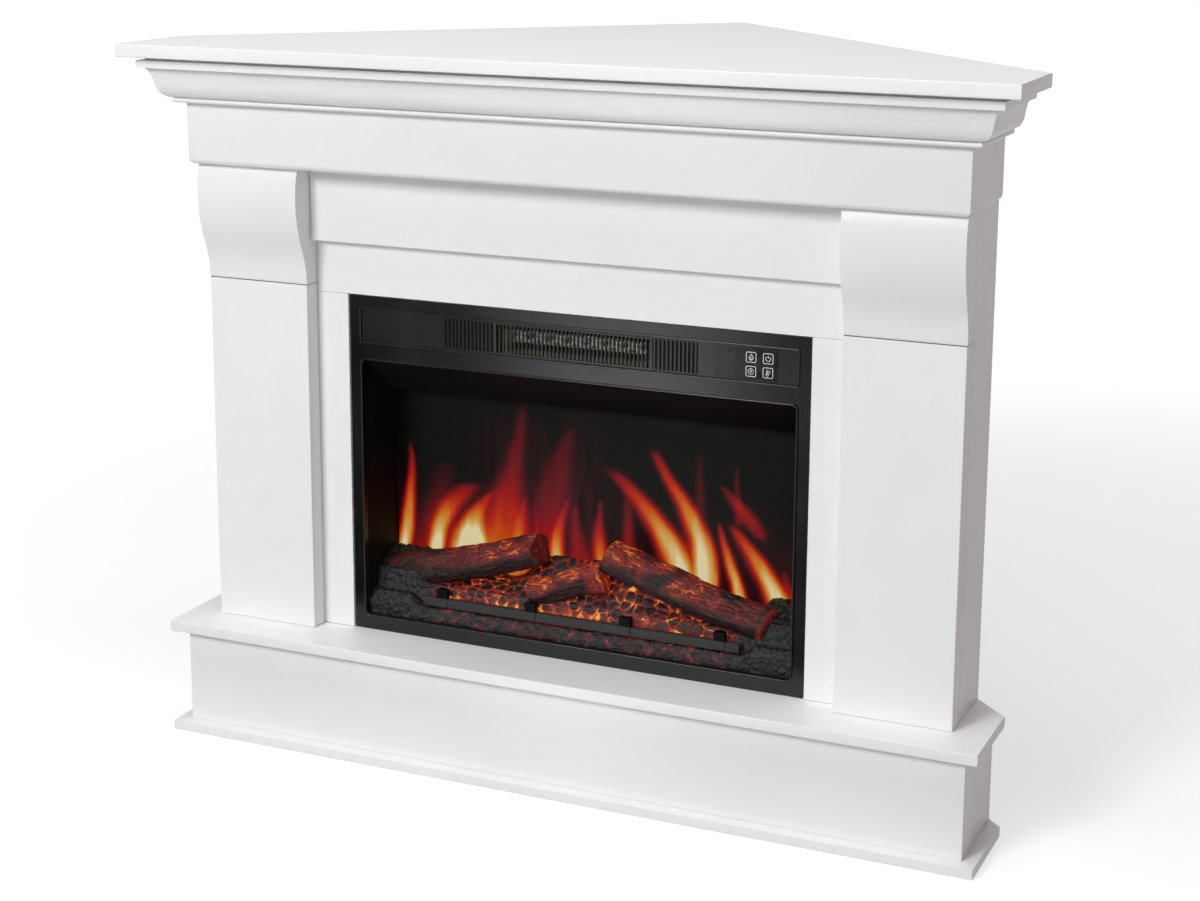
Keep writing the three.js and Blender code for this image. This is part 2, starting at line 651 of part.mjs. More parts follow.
function controlStrip() {
  const half = STRIP_WIDTH / 2 - GAP;
  const plate = roundedRectangle(-half, STRIP_BOTTOM + GAP, half, STRIP_TOP - GAP, STRIP_CORNER);
  const [z0, z1] = [LOUVRE_BOTTOM - GAP, LOUVRE_TOP + GAP];
  const grilleWindow = rectangle(GRILLE_LEFT - GAP, z0, GRILLE_RIGHT + GAP, z1);
  const touchWindow = rectangle(TOUCH_LEFT - GAP, z0, TOUCH_LEFT + TOUCH_WIDTH + GAP, z1);
  const left = ribs(GRILLE_LEFT - GAP - LEFT_RIBS_WIDTH, LEFT_RIBS_WIDTH - 1);
  const right = ribs(GRILLE_RIGHT + GAP + 1, TOUCH_LEFT - TOUCH_MARGIN - GRILLE_RIGHT);
  return join(piercedPlate(plate, [grilleWindow, touchWindow], STRIP_RECESS, STRIP_BACK), ...left, ...right);
}

function airGrille() {
  const plate = rectangle(GRILLE_LEFT, LOUVRE_BOTTOM, GRILLE_RIGHT, LOUVRE_TOP);
  const count = Math.floor((GRILLE_RIGHT - GRILLE_LEFT - 2) / SLOT_PITCH);
  const first = (GRILLE_LEFT + GRILLE_RIGHT) / 2 - ((count - 1) * SLOT_PITCH) / 2;
  const slots = Array.from({ length: count }, (_, i) => (
    slotOutline(first + i * SLOT_PITCH, SLOT_WIDTH, LOUVRE_BOTTOM + SLOT_END, LOUVRE_TOP - SLOT_END)));
  return piercedPlate(plate, slots, STRIP_RECESS - RIB_HEIGHT, STRIP_BACK - 1);
}

function touchPanel() {
  const right = TOUCH_LEFT + TOUCH_WIDTH;
  const plate = roundedRectangle(TOUCH_LEFT, LOUVRE_BOTTOM, right, LOUVRE_TOP, STRIP_CORNER);
  const face = STRIP_RECESS - TOUCH_PROUD;
  return alongY(plate, face, face + TOUCH_THICK, 3);
}

// Circuit board behind the touch glass. Each block is left, right, lower and upper edge from the board's
// lower left corner, then its front and back.
function controlBoard() {
  const [x0, z0] = [TOUCH_LEFT - 3, STRIP_BOTTOM + 3];
  const face = BEHIND_TRIM + 1.5;
  const root = face + CIRCUIT_THICK / 2;
  const behindGlass = STRIP_RECESS - TOUCH_PROUD + TOUCH_THICK + GAP;
  const board = [0, TOUCH_WIDTH + 8, 0, STRIP_HEIGHT - 6, face, face + CIRCUIT_THICK];
  const display = [6, 60, 4, 32, behindGlass, root];
  const relay = [8, 27, 6, 21, root, face + 17];
  const terminals = [[38, 52, 5, 15, root, face + 12], [56, 70, 5, 15, root, face + 12]];
  return join(...[board, display, relay, ...terminals].map(([left, right, lower, upper, front, back]) => (
    box(x0 + left, x0 + right, front, back, z0 + lower, z0 + upper))));
}

// ---------- Heater: casing and recess ----------

function casingShell() {
  const half = CASING_WIDTH / 2;
  const wrap = rectangle(-half, 0, half, CASING_HEIGHT);
  wrap.holes.push(rectangle(-half + SHEET, SHEET, half - SHEET, CASING_HEIGHT - SHEET));
  return alongY(wrap, BEHIND_TRIM, CASING_DEPTH);
}

function casingBack() {
  const half = CASING_INNER - GAP;
  const plate = rectangle(-half, CASING_FLOOR, half, CASING_HEIGHT - CASING_FLOOR);
  const windows = [new THREE.Shape().absarc(CORD_X, CORD_LEVEL, CORD_HOLE, 0, Math.PI * 2)];
  for (const drop of VENT_DROPS) {
    for (let i = 0; i < VENT_COLUMNS; i += 1) {
      const x = (i - (VENT_COLUMNS - 1) / 2) * VENT_PITCH;
      const z = CASING_HEIGHT - drop;
      windows.push(rectangle(x - VENT_LENGTH / 2, z, x + VENT_LENGTH / 2, z + VENT_HEIGHT));
    }
  }
  return piercedPlate(plate, windows, BACK_SHEET, BACK_SHEET + SHEET, 10);
}

// Ring that guards the supply cord where it enters. The flanges grip the sheet on both sides.
function cordGland() {
  const [grip, flange, bore] = [CORD_HOLE - GAP, CORD_HOLE + 3, CORD_HOLE - 3.5];
  const [front, back] = [BACK_SHEET - GAP, BACK_SHEET + SHEET + GAP];
  const profile = [[bore, front - 2], [flange, front - 2], [flange, front], [grip, front], [grip, back],
    [flange, back], [flange - 1, back + 3], [bore, back + 4], [bore, front - 2]];
  return new THREE.LatheGeometry(profile.map(([r, y]) => new THREE.Vector2(r, y)), 20)
    .translate(CORD_X, 0, CORD_LEVEL);
}

function ceilingLine() {
  return [[BEHIND_TRIM, VIEW_TOP + GAP], [KNEE_SETBACK, VIEW_TOP - KNEE_DROP],
    [BED_BACK, VIEW_TOP - CEILING_DROP]];
}

function recessCheek(side) {
  const [front, knee, end] = ceilingLine();
  const shape = outline([[front[0], CASING_FLOOR], [end[0], CASING_FLOOR], end, knee, front]);
  const [x0, x1] = [side * CHEEK_INNER, side * (CHEEK_INNER + SHEET)].sort((p, q) => p - q);
  return alongX(shape, x0, x1);
}

// Folded sheet that slopes down from behind the trim to the flame screen.
function recessCeiling() {
  const line = ceilingLine();
  const lifted = line.map(([y, z]) => [y, z + SHEET]).reverse();
  return alongX(outline([...line, ...lifted]), -CHEEK_INNER + GAP, CHEEK_INNER - GAP);
}

function flameScreen() {
  const half = CHEEK_INNER - GAP;
  return box(-half, half, SCREEN_SETBACK, SCREEN_SETBACK + SCREEN_THICK, CASING_FLOOR, SCREEN_TOP);
}

// One flame-shaped window; its height and lean vary along the row.
function flameOutline(x, index) {
  const tip = FLAME_BASE + (CUTTER_TOP - FLAME_BASE) * (0.6 + 0.25 * Math.sin(index * 2.1));
  const lean = FLAME_LEAN * Math.cos(index * 1.7);
  const swell = FLAME_SWELL;
  const level = (share) => FLAME_BASE + (tip - FLAME_BASE) * share;
  const flame = new THREE.Shape();
  flame.moveTo(x, FLAME_BASE);
  flame.bezierCurveTo(x + swell, level(0.2), x + 0.7 * swell + lean, level(0.55), x + lean, tip);
  flame.bezierCurveTo(x - 0.3 * swell + lean, level(0.5), x - 1.1 * swell, level(0.35), x, FLAME_BASE);
  return flame;
}

// Thin plate with a row of windows. Light thrown back through them draws the moving flames on the screen.
function flameCutter() {
  const half = CASING_INNER - CUTTER_INSET;
  const plate = rectangle(-half, CASING_FLOOR, half, CUTTER_TOP);
  const rowHalf = half - CUTTER_MARGIN;
  const flames = Array.from({ length: FLAME_COUNT }, (_, i) => (
    flameOutline(-rowHalf + ((i + 0.5) * 2 * rowHalf) / FLAME_COUNT, i)));
  return piercedPlate(plate, flames, CUTTER_SETBACK, CUTTER_SETBACK + SHEET, 7);
}

// ---------- Heater: flame flicker drive ----------

// Shaft with bright flags set round it in a slow spiral.
function flickerRotor() {
  const shaft = cylinderAlongX(-ROTOR_HALF - 10, ROTOR_HALF + 9, 0, 0, ROTOR_SHAFT, 12);
  const pitch = (2 * ROTOR_HALF - FLAG_LENGTH) / FLAG_COUNT;
  const flags = [];
  for (let i = 0; i < FLAG_COUNT; i += 1) {
    const x = (i + 0.5 - FLAG_COUNT / 2) * pitch;
    const flag = new THREE.BoxGeometry(FLAG_LENGTH, 2 * FLAG_REACH, FLAG_THICK)
      .rotateX((i / FLAG_COUNT) * Math.PI * 3)
      .translate(x, 0, 0);
    flags.push(flag);
  }
  return join(shaft, ...flags);
}

// Small synchronous motor on a foot that reaches the casing's floor.
function rotorMotor() {
  const end = -ROTOR_HALF - 1;
  const start = end - ROTOR_MOTOR_LENGTH;
  const body = cylinderAlongX(start, end, ROTOR_SETBACK, ROTOR_LEVEL, ROTOR_MOTOR_RADIUS);
  const foot = box(start + 8, end - 8, ROTOR_SETBACK - 12, ROTOR_SETBACK + 12, CASING_FLOOR, ROTOR_LEVEL);
  const base = box(start + 2, end - 2, ROTOR_SETBACK - 16, ROTOR_SETBACK + 16, CASING_FLOOR, CASING_FLOOR + 3);
  const bore = cylinderAlongX(end - 14, end + 1, ROTOR_SETBACK, ROTOR_LEVEL, ROTOR_SHAFT + SHAFT_PLAY, 12);
  return cut(join(body, foot, base), bore);
}

function rotorBracket() {
  const [x0, x1] = [ROTOR_HALF + 1, ROTOR_HALF + 6];
  const [y0, y1] = [ROTOR_SETBACK - 10, ROTOR_SETBACK + 10];
  const plate = box(x0, x1, y0, y1, CASING_FLOOR, ROTOR_LEVEL + 10);
  const foot = box(x0, x1 + 14, y0, y1, CASING_FLOOR, CASING_FLOOR + 2);
  const bore = cylinderAlongX(x0 - 1, x1 + 1, ROTOR_SETBACK, ROTOR_LEVEL, ROTOR_SHAFT + SHAFT_PLAY, 12);
  return cut(join(plate, foot), bore);
}

// Strip of lamps on the casing's floor, between the cutter plate and the rotor.
function lampStrip() {
  const [y0, y1] = [CUTTER_SETBACK + SHEET + 2, CUTTER_SETBACK + SHEET + 12];
  const half = ROTOR_HALF - 16;
  const board = box(-half, half, y0, y1, CASING_FLOOR, CASING_FLOOR + 2.4);
  const lamps = Array.from({ length: LAMP_COUNT }, (_, i) => {
    const x = -half + ((i + 0.5) * 2 * half) / LAMP_COUNT;
    return box(x - 2.5, x + 2.5, y0 + 2.5, y1 - 2.5, CASING_FLOOR + 2, CASING_FLOOR + 4.2);
  });
  return join(board, ...lamps);
}

// ---------- Heater: warm air path ----------

function heaterDuct() {
  const [x0, x1] = [GRILLE_LEFT - 1, GRILLE_RIGHT + 1];
  const wrap = rectangle(x0, STRIP_BOTTOM, x1, STRIP_TOP);
  wrap.holes.push(rectangle(x0 + SHEET, STRIP_BOTTOM + SHEET, x1 - SHEET, STRIP_TOP - SHEET));
  return alongY(wrap, BEHIND_TRIM, DUCT_BACK);
}

// Two mica end plates on one strip hold the coil's straight ends.
function coilFrame() {
  const [z0, z1] = [STRIP_BOTTOM + SHEET + GAP, STRIP_TOP - SHEET - GAP];
  const reach = COIL_RADIUS + 4;
  const [y0, y1] = [COIL_SETBACK - reach, COIL_SETBACK + reach];
  const thick = 2.5;
  const leftFace = COIL_LEFT - 2 * COIL_WIRE - GAP;
  const rightFace = COIL_RIGHT + 2 * COIL_WIRE + GAP;
  const left = box(leftFace - thick, leftFace, y0, y1, z0, z1);
  const right = box(rightFace, rightFace + thick, y0, y1, z0, z1);
  const strip = box(leftFace - thick, rightFace + thick, y0, y1, z0, z0 + 1.5);
  return join(left, right, strip);
}

function coilPoints() {
  const curls = Math.round((COIL_RIGHT - COIL_LEFT) / COIL_PITCH);
  const total = curls * COIL_STEPS;
  const points = [];
  for (let i = 0; i <= total; i += 1) {
    const angle = (i / COIL_STEPS) * Math.PI * 2;
    const x = COIL_LEFT + ((COIL_RIGHT - COIL_LEFT) * i) / total;
    const [y, z] = [COIL_RADIUS * Math.cos(angle), COIL_RADIUS * Math.sin(angle)];
    points.push(new THREE.Vector3(x, COIL_SETBACK + y, STRIP_MIDDLE + z));
  }
  const [first, last] = [points[0], points[points.length - 1]];
  const lead = (point, way) => new THREE.Vector3(point.x + way, point.y, point.z);
  return [lead(first, -2 * COIL_WIRE), lead(first, -COIL_WIRE), ...points.slice(1, -1),
    lead(last, COIL_WIRE), lead(last, 2 * COIL_WIRE)];
}

// Least clear distance between one curl and the next, measured on the wire's middle line.
function leastCoilGap(points) {
  let least = Infinity;
  for (let i = 0; i < points.length; i += 1) {
    for (let j = i + COIL_STEPS / 2; j < points.length; j += 1) {
      least = Math.min(least, points[i].distanceTo(points[j]));
    }
  }
  return least - COIL_WIRE;
}

function heaterCoil() {
  const points = coilPoints();
  console.log(`heater coil: least gap to itself ${leastCoilGap(points).toFixed(2)} mm`);
  return facingOut(tubeAlong(points, COIL_WIRE / 2, COIL_SIDES));
}

// One blade of the drum: a thin arc that leans forward, given as a closed outline about the axle.
function bladeOutline(angle) {
  const steps = 4;
  const inner = [];
  const outer = [];
  for (let i = 0; i <= steps; i += 1) {
    const t = i / steps;
    const radius = WHEEL_RADIUS - 0.6 - BLADE_DEPTH * (1 - t);
    const lean = angle + 0.34 * Math.sin((t * Math.PI) / 2);
    const half = BLADE_THICK / 2 / radius;
    inner.push([radius * Math.cos(lean - half), radius * Math.sin(lean - half)]);
    outer.push([radius * Math.cos(lean + half), radius * Math.sin(lean + half)]);
  }
  return outline([...inner, ...outer.reverse()]);
}

// Long drum with curved blades round it, three discs that hold them, and a shaft stub at each end.
function blowerWheel() {
  const disc = 1.6;
  const middle = (WHEEL_LEFT + WHEEL_RIGHT) / 2;
  const parts = [WHEEL_LEFT, middle - disc / 2, WHEEL_RIGHT - disc]
    .map((x) => cylinderAlongX(x, x + disc, 0, 0, WHEEL_RADIUS, 32));
  for (let i = 0; i < WHEEL_BLADES; i += 1) {
    const blade = bladeOutline((i / WHEEL_BLADES) * Math.PI * 2);
    parts.push(alongX(blade, WHEEL_LEFT + disc / 2, WHEEL_RIGHT - disc / 2));
  }
  parts.push(cylinderAlongX(WHEEL_LEFT - 6, WHEEL_LEFT + 1, 0, 0, SHAFT_RADIUS, 16));
  parts.push(cylinderAlongX(WHEEL_RIGHT - 1, WHEEL_RIGHT + 20, 0, 0, SHAFT_RADIUS, 16));
  return join(...parts);
}

// Spiral sheet round the wheel, opening into the duct, with an end plate and a bearing hole at each side.
function blowerHousing() {
  const steps = 14;
  const throat = DUCT_BACK + GAP;
  const roof = STRIP_TOP;
  const startAngle = -1.5;
  const startRadius = WHEEL_RADIUS + SCROLL_PLAY;
  const endRadius = roof - WHEEL_LEVEL;
  const inside = [];
  const outside = [];
  for (let i = 0; i <= steps; i += 1) {
    const t = i / steps;
    const angle = startAngle + t * (Math.PI / 2 - startAngle);
    const radius = startRadius + (endRadius - SHEET - startRadius) * t * t;
    const [c, s] = [Math.cos(angle), Math.sin(angle)];
    inside.push([WHEEL_SETBACK + radius * c, WHEEL_LEVEL + radius * s]);
    outside.push([WHEEL_SETBACK + (radius + SHEET) * c, WHEEL_LEVEL + (radius + SHEET) * s]);
  }
  const sheet = [...inside, [throat, roof - SHEET], [throat, roof], ...outside.reverse()];
  const [x0, x1] = [WHEEL_LEFT - HOUSING_PLAY - HOUSING_WALL, WHEEL_RIGHT + HOUSING_PLAY + HOUSING_WALL];
  const scroll = alongX(outline(sheet), x0, x1);
  const low = WHEEL_LEVEL - startRadius - SHEET;
  const far = WHEEL_SETBACK + startRadius + 12;
  const plates = [x0, x1 - HOUSING_WALL].map((x) => box(x, x + HOUSING_WALL, throat, far, low, roof));
  const bores = [[x0 - 1, x0 + HOUSING_WALL + 1], [x1 - HOUSING_WALL - 1, x1 + 1]]
    .map(([a, b]) => cylinderAlongX(a, b, WHEEL_SETBACK, WHEEL_LEVEL, SHAFT_RADIUS + SHAFT_PLAY, 16));
  return cut(join(scroll, ...plates), ...bores);
}

function blowerMotor() {
  const start = WHEEL_RIGHT + HOUSING_PLAY + HOUSING_WALL + GAP;
  const end = start + MOTOR_LENGTH;
  const body = cylinderAlongX(start, end, WHEEL_SETBACK, WHEEL_LEVEL, MOTOR_RADIUS, 28);
  const [y0, y1] = [WHEEL_SETBACK - CORE_REACH, WHEEL_SETBACK + CORE_REACH];
  const [z0, z1] = [WHEEL_LEVEL - CORE_HALF, WHEEL_LEVEL + CORE_HALF];
  const core = box(start + CORE_SETBACK, end - CORE_SETBACK, y0, y1, z0, z1);
  const bore = cylinderAlongX(
    start - 1, start + MOTOR_BORE, WHEEL_SETBACK, WHEEL_LEVEL, SHAFT_RADIUS + SHAFT_PLAY, 16);
  return cut(join(body, core), bore);
}

// ---------- Heater: logs, ember bed and grate ----------

// Ends of each log, as shares of half the view's width, of the way to the screen and of the view's height.
const LOGS = {
  log_left: { from: [-0.95, 0.667, 0.156], to: [-0.229, 0.632, 0.338], thick: [1.02, 0.92], seed: 1.3 },
  log_centre: { from: [-0.257, 0.46, 0.191], to: [0.093, 0.529, 0.275], thick: [0.72, 0.86], seed: 4.1 },
  log_right: { from: [0.1, 0.644, 0.335], to: [0.85, 0.54, 0.179], thick: [0.96, 1.0], seed: 7.7 },
};

function logPoint([x, y, z]) {
  return new THREE.Vector3((x * VIEW_WIDTH) / 2, y * SCREEN_SETBACK, z * VIEW_TOP);
}

// A split log: an uneven round form whose rings follow its axis, with slightly slanted cut ends.
function log({ from, to, thick, seed }, extra = 0) {
  const [start, end] = [logPoint(from), logPoint(to)];
  const along = end.clone().sub(start).normalize();
  const up = new THREE.Vector3(0, 0, 1).addScaledVector(along, -along.z).normalize();
  const across = along.clone().cross(up);
  const [ringCount, sides] = [11, 14];
  const rings = [];
  for (let ring = 0; ring < ringCount; ring += 1) {
    const t = ring / (ringCount - 1);
    const bow = 0.11 * LOG_RADIUS * Math.sin(t * 5 + seed);
    const middle = start.clone().lerp(end, t).addScaledVector(up, bow);
    middle.addScaledVector(along, (t * 2 - 1) * extra);
    const radius = LOG_RADIUS * (thick[0] + (thick[1] - thick[0]) * t);
    rings.push(Array.from({ length: sides }, (_, side) => {
      const angle = (side / sides) * Math.PI * 2;
      const broad = 0.06 * Math.sin(3 * angle + seed + 2 * t);
      const fine = 0.04 * Math.sin(5 * angle - seed * 2 + 4 * t);
      const reach = radius * (1 + broad + fine) + extra;
      return middle.clone()
        .addScaledVector(up, reach * Math.cos(angle))
        .addScaledVector(across, reach * Math.sin(angle))
        .addScaledVector(along, 0.12 * reach * Math.cos(angle + seed));
    }));
  }
  return facingOut(skinRings(rings));
}

// The centre log leans against its neighbours, so it is cut to lie against them.
function fittedLog(name) {
  const whole = log(LOGS[name]);
  if (name !== 'log_centre') return whole;
  return cut(whole, log(LOGS.log_left, GAP), log(LOGS.log_right, GAP));
}

// Height of the coals: a low terrace in front for the grate bar, a step up behind it, a mound behind the
// centre log, and heaps at both ends.
function coalLevel(x, y) {
  const { lerp, smoothstep } = THREE.MathUtils;
  const terrace = BAR_BOTTOM - CLIP_PROUD;
  const barBack = BAR_SETBACK + BAR_DEPTH;
  const front = lerp(VIEW_BOTTOM + 2 * CLIP_PROUD, terrace, smoothstep(y, BED_FRONT, BAR_SETBACK));
  const rise = smoothstep(y, barBack, barBack + BAR_DEPTH);
  const slope = smoothstep(y, barBack, BED_BACK);
  const heap = smoothstep(Math.abs(x), BAR_HALF, BAR_HALF + LOG_RADIUS);
  const mound = 1 - smoothstep(Math.abs(x), 2.5 * LOG_RADIUS, 5 * LOG_RADIUS);
  const lumps = COAL_LUMP * Math.sin(x * 0.31 + Math.sin(y * 0.4)) * Math.cos(y * 0.5 + x * 0.07);
  const behind = front + rise * (BAR_HEIGHT + COAL_STEP) + slope * (COAL_SLOPE + mound * COAL_MOUND);
  return behind + heap * (1 + slope / 2) * COAL_HEAP + lumps;
}

// Moulded bed: a height field over a flat base, cut by the logs that lie in it and hollow above the base.
function emberBed() {
  const [columns, rows] = [62, 11];
  const half = CHEEK_INNER - GAP;
  const place = (i, j, top) => {
    const x = -half + (2 * half * i) / columns;
    const y = BED_FRONT + ((BED_BACK - BED_FRONT) * j) / rows;
    return [x, y, top ? coalLevel(x, y) : BED_BASE];
  };
  const positions = [];
  for (const top of [true, false]) {
    for (let k = 0; k < (columns + 1) * (rows + 1); k += 1) {
      positions.push(...place(k % (columns + 1), Math.floor(k / (columns + 1)), top));
    }
  }
  const layer = (columns + 1) * (rows + 1);
  const at = (i, j) => j * (columns + 1) + i;
  const indices = [];
  for (let j = 0; j < rows; j += 1) {
    for (let i = 0; i < columns; i += 1) {
      const [a, b, c, d] = [at(i, j), at(i + 1, j), at(i + 1, j + 1), at(i, j + 1)];
      indices.push(a, b, c, a, c, d);
      indices.push(layer + a, layer + c, layer + b, layer + a, layer + d, layer + c);
    }
  }
  const rim = [];
  for (let i = 0; i < columns; i += 1) {
    rim.push([at(i, 0), at(i + 1, 0)], [at(i + 1, rows), at(i, rows)]);
  }
  for (let j = 0; j < rows; j += 1) {
    rim.push([at(columns, j), at(columns, j + 1)], [at(0, j + 1), at(0, j)]);
  }
  for (const [a, b] of rim) {
    indices.push(a, layer + a, b, b, layer + a, layer + b);
  }
  const block = new THREE.BufferGeometry();
  block.setAttribute('position', new THREE.Float32BufferAttribute(positions, 3));
  block.setIndex(indices);
  const barBack = BAR_SETBACK + BAR_DEPTH;
  const hollow = box(-BAR_HALF, BAR_HALF, barBack + 8, BED_BACK - 8, 0, BAR_BOTTOM - 12);
  const cradles = Object.values(LOGS).map((shape) => log(shape, GAP));
  const barSeat = box(-BAR_HALF - GAP, BAR_HALF + GAP, BAR_SETBACK - CLIP_PROUD - GAP, barBack + GAP,
    BAR_BOTTOM - GAP, BAR_BOTTOM + 2 * BAR_HEIGHT);
  return cut(facingOut(block), hollow, barSeat, ...cradles);
}

// Square bar with four clips that stand up from it.
function grateBar() {
  const back = BAR_SETBACK + BAR_DEPTH;
  const bar = box(-BAR_HALF, BAR_HALF, BAR_SETBACK, back, BAR_BOTTOM, BAR_BOTTOM + BAR_HEIGHT);
  const clips = [-0.88, -0.3, 0.3, 0.88].map((share) => {
    const x = share * BAR_HALF;
    const [low, high] = [BAR_BOTTOM + 1, BAR_BOTTOM + BAR_HEIGHT + 6];
    return box(x - CLIP_HALF, x + CLIP_HALF, BAR_SETBACK - CLIP_PROUD, back - 0.5, low, high);
  });
  return join(bar, ...clips);
}

// ---------- Assembly ----------

const fireplace = new THREE.Group();
const mantel = new THREE.Group();
const heater = new THREE.Group();
mantel.position.set(0, -DEPTH / 2, 0);
heater.position.set(0, -DEPTH / 2 + SURROUND_FRONT + INSERT_RECESS, INSERT_FLOOR);
fireplace.add(mantel, heater);

function place(group, name, geometry, material) {
  const mesh = new THREE.Mesh(geometry, material);
  mesh.name = name;
  group.add(mesh);
  return mesh;
}

place(mantel, 'top_shelf', topShelf(), whitePaint);
for (const side of ['front', 'left', 'right']) {
  const upper = [FRIEZE_HALF, FRIEZE_FRONT];
  const lower = [PLINTH_HALF, PLINTH_FRONT];
  place(mantel, `crown_${side}`, mouldingRun(side, crownProfile(), ...upper), whitePaint);
  place(mantel, `frieze_${side}`, mouldingRun(side, friezeProfile(), ...upper), whitePaint);
  place(mantel, `plinth_${side}`, mouldingRun(side, plinthProfile(), ...lower), whitePaint);
  place(mantel, `foot_moulding_${side}`, mouldingRun(side, footProfile(), ...lower), whitePaint);
}
place(mantel, 'frieze_soffit', friezeSoffit(), whitePaint);
for (const [label, side] of [['left', -1], ['right', 1]]) {
  place(mantel, `corbel_${label}`, corbel(side), whitePaint);
  place(mantel, `pilaster_face_${label}`, pilasterFace(side), whitePaint);
  place(mantel, `pilaster_side_${label}`, pilasterSide(side), whitePaint);
  place(mantel, `surround_stile_${label}`, surroundStile(side), whitePaint);
  const upper = wallRail(side, FRIEZE_HALF - BOARD, SHELF_BOTTOM - GAP - RAIL_HEIGHT, SHELF_BOTTOM - GAP);
  place(mantel, `rail_upper_${label}`, upper, rawTimber);
  place(mantel, `rail_lower_${label}`, wallRail(side, PLINTH_HALF - BOARD, 0, RAIL_HEIGHT), rawTimber);
}
place(mantel, 'header_lower', headerLower(), whitePaint);
place(mantel, 'header_upper', headerUpper(), whitePaint);
place(mantel, 'hearth_slab', hearthSlab(), whitePaint);
place(mantel, 'rear_post', rearPost(), rawTimber);

place(heater, 'trim_frame', trimFrame(), blackEnamel);
place(heater, 'control_strip', controlStrip(), blackPlastic);
place(heater, 'air_grille', airGrille(), blackPlastic);
place(heater, 'touch_panel', touchPanel(), darkGlass);
place(heater, 'control_board', controlBoard(), circuitGreen);
place(heater, 'casing_shell', casingShell(), galvanised);
place(heater, 'casing_back', casingBack(), galvanised);
place(heater, 'cord_gland', cordGland(), blackPlastic);
place(heater, 'recess_cheek_left', recessCheek(-1), mattBlack);
place(heater, 'recess_cheek_right', recessCheek(1), mattBlack);
place(heater, 'recess_ceiling', recessCeiling(), mattBlack);
place(heater, 'flame_screen', flameScreen(), smokedScreen);
place(heater, 'flame_cutter', flameCutter(), mattBlack);
place(heater, 'flicker_rotor', flickerRotor(), polishedTin).position.set(0, ROTOR_SETBACK, ROTOR_LEVEL);
place(heater, 'rotor_motor', rotorMotor(), blackPlastic);
place(heater, 'rotor_bracket', rotorBracket(), galvanised);
place(heater, 'lamp_strip', lampStrip(), circuitGreen);
place(heater, 'heater_duct', heaterDuct(), galvanised);
place(heater, 'coil_frame', coilFrame(), mica);
place(heater, 'heater_coil', heaterCoil(), heaterWire);
place(heater, 'blower_wheel', blowerWheel(), polishedTin).position.set(0, WHEEL_SETBACK, WHEEL_LEVEL);
place(heater, 'blower_housing', blowerHousing(), galvanised);
place(heater, 'blower_motor', blowerMotor(), mattBlack);
for (const name of Object.keys(LOGS)) place(heater, name, fittedLog(name), charredLog);
place(heater, 'ember_bed', emberBed(), embers);
place(heater, 'grate_bar', grateBar(), mattBlack);

export default fireplace;
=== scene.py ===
# %% [markdown]
# A corner electric fireplace, dressed for a studio picture. The packed model gives every rigid part
# at its true size. This lesson adds what the model leaves plain: paint, sheet metal, charred logs,
# glowing coals, the flames on the screen, the heater's coil and the printed keys. All lengths are
# metres in the model's own frame: +X to the right, +Y back into the corner, +Z up.

import math

import bpy
import numpy as np
from mathutils import Matrix, Vector, kdtree, noise


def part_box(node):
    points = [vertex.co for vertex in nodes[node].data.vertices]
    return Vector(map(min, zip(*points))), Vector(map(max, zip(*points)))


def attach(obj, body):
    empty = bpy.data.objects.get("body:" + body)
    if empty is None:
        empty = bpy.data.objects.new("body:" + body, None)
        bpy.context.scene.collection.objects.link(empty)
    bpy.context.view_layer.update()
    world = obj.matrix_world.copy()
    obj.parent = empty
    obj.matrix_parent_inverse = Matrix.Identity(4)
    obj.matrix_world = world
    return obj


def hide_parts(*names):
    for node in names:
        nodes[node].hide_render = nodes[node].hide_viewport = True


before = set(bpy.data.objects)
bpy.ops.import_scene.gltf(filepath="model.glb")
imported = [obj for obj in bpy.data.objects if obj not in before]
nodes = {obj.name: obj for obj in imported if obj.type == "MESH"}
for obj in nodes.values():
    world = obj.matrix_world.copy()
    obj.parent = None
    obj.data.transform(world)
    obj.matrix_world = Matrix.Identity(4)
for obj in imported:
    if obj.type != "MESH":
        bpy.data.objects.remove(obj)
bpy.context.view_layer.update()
MM = 0.001

# %% [markdown]
# The heater is described in its own millimetres: x from its middle, y back from its trim, z up from
# its lower edge. The trim frame's box says where that frame lies in the model.

# %% Find the heater's own frame
trim_low, trim_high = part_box("trim_frame")
HEATER = Vector(((trim_low[0] + trim_high[0]) / 2, trim_low[1], trim_low[2]))


def in_heater(x, y, z):
    """Turns a point in the heater's millimetres into the model's metres."""
    return HEATER + Vector((x, y, z)) * MM


print("heater origin:", tuple(round(v, 4) for v in HEATER))

# %% [markdown]
# A camera is a place, a direction and a lens. It could be placed by eye, but then lines never quite
# meet those of the photo, so these numbers came from matching the corners of the mantel. The camera
# stands to the right of the fireplace, a little above it, and looks down by twelve degrees. Lens
# and film width are in millimetres.

# %% Set up the camera
CAMERA_PLACE = (1.0494, -2.5183, 1.0906)
LENS_MM, FILM_MM, LENS_SHIFT, FARTHEST = 66.2, 36, -0.1, 100
YAW, PITCH, ROLL = (math.radians(angle) for angle in (23.827, 12.03, 0.281))
forward = Vector((-math.sin(YAW) * math.cos(PITCH), math.cos(YAW) * math.cos(PITCH), -math.sin(PITCH)))
level_right = Vector((math.cos(YAW), math.sin(YAW), 0))
level_up = level_right.cross(forward)
right = level_right * math.cos(ROLL) + level_up * math.sin(ROLL)
up = right.cross(forward)

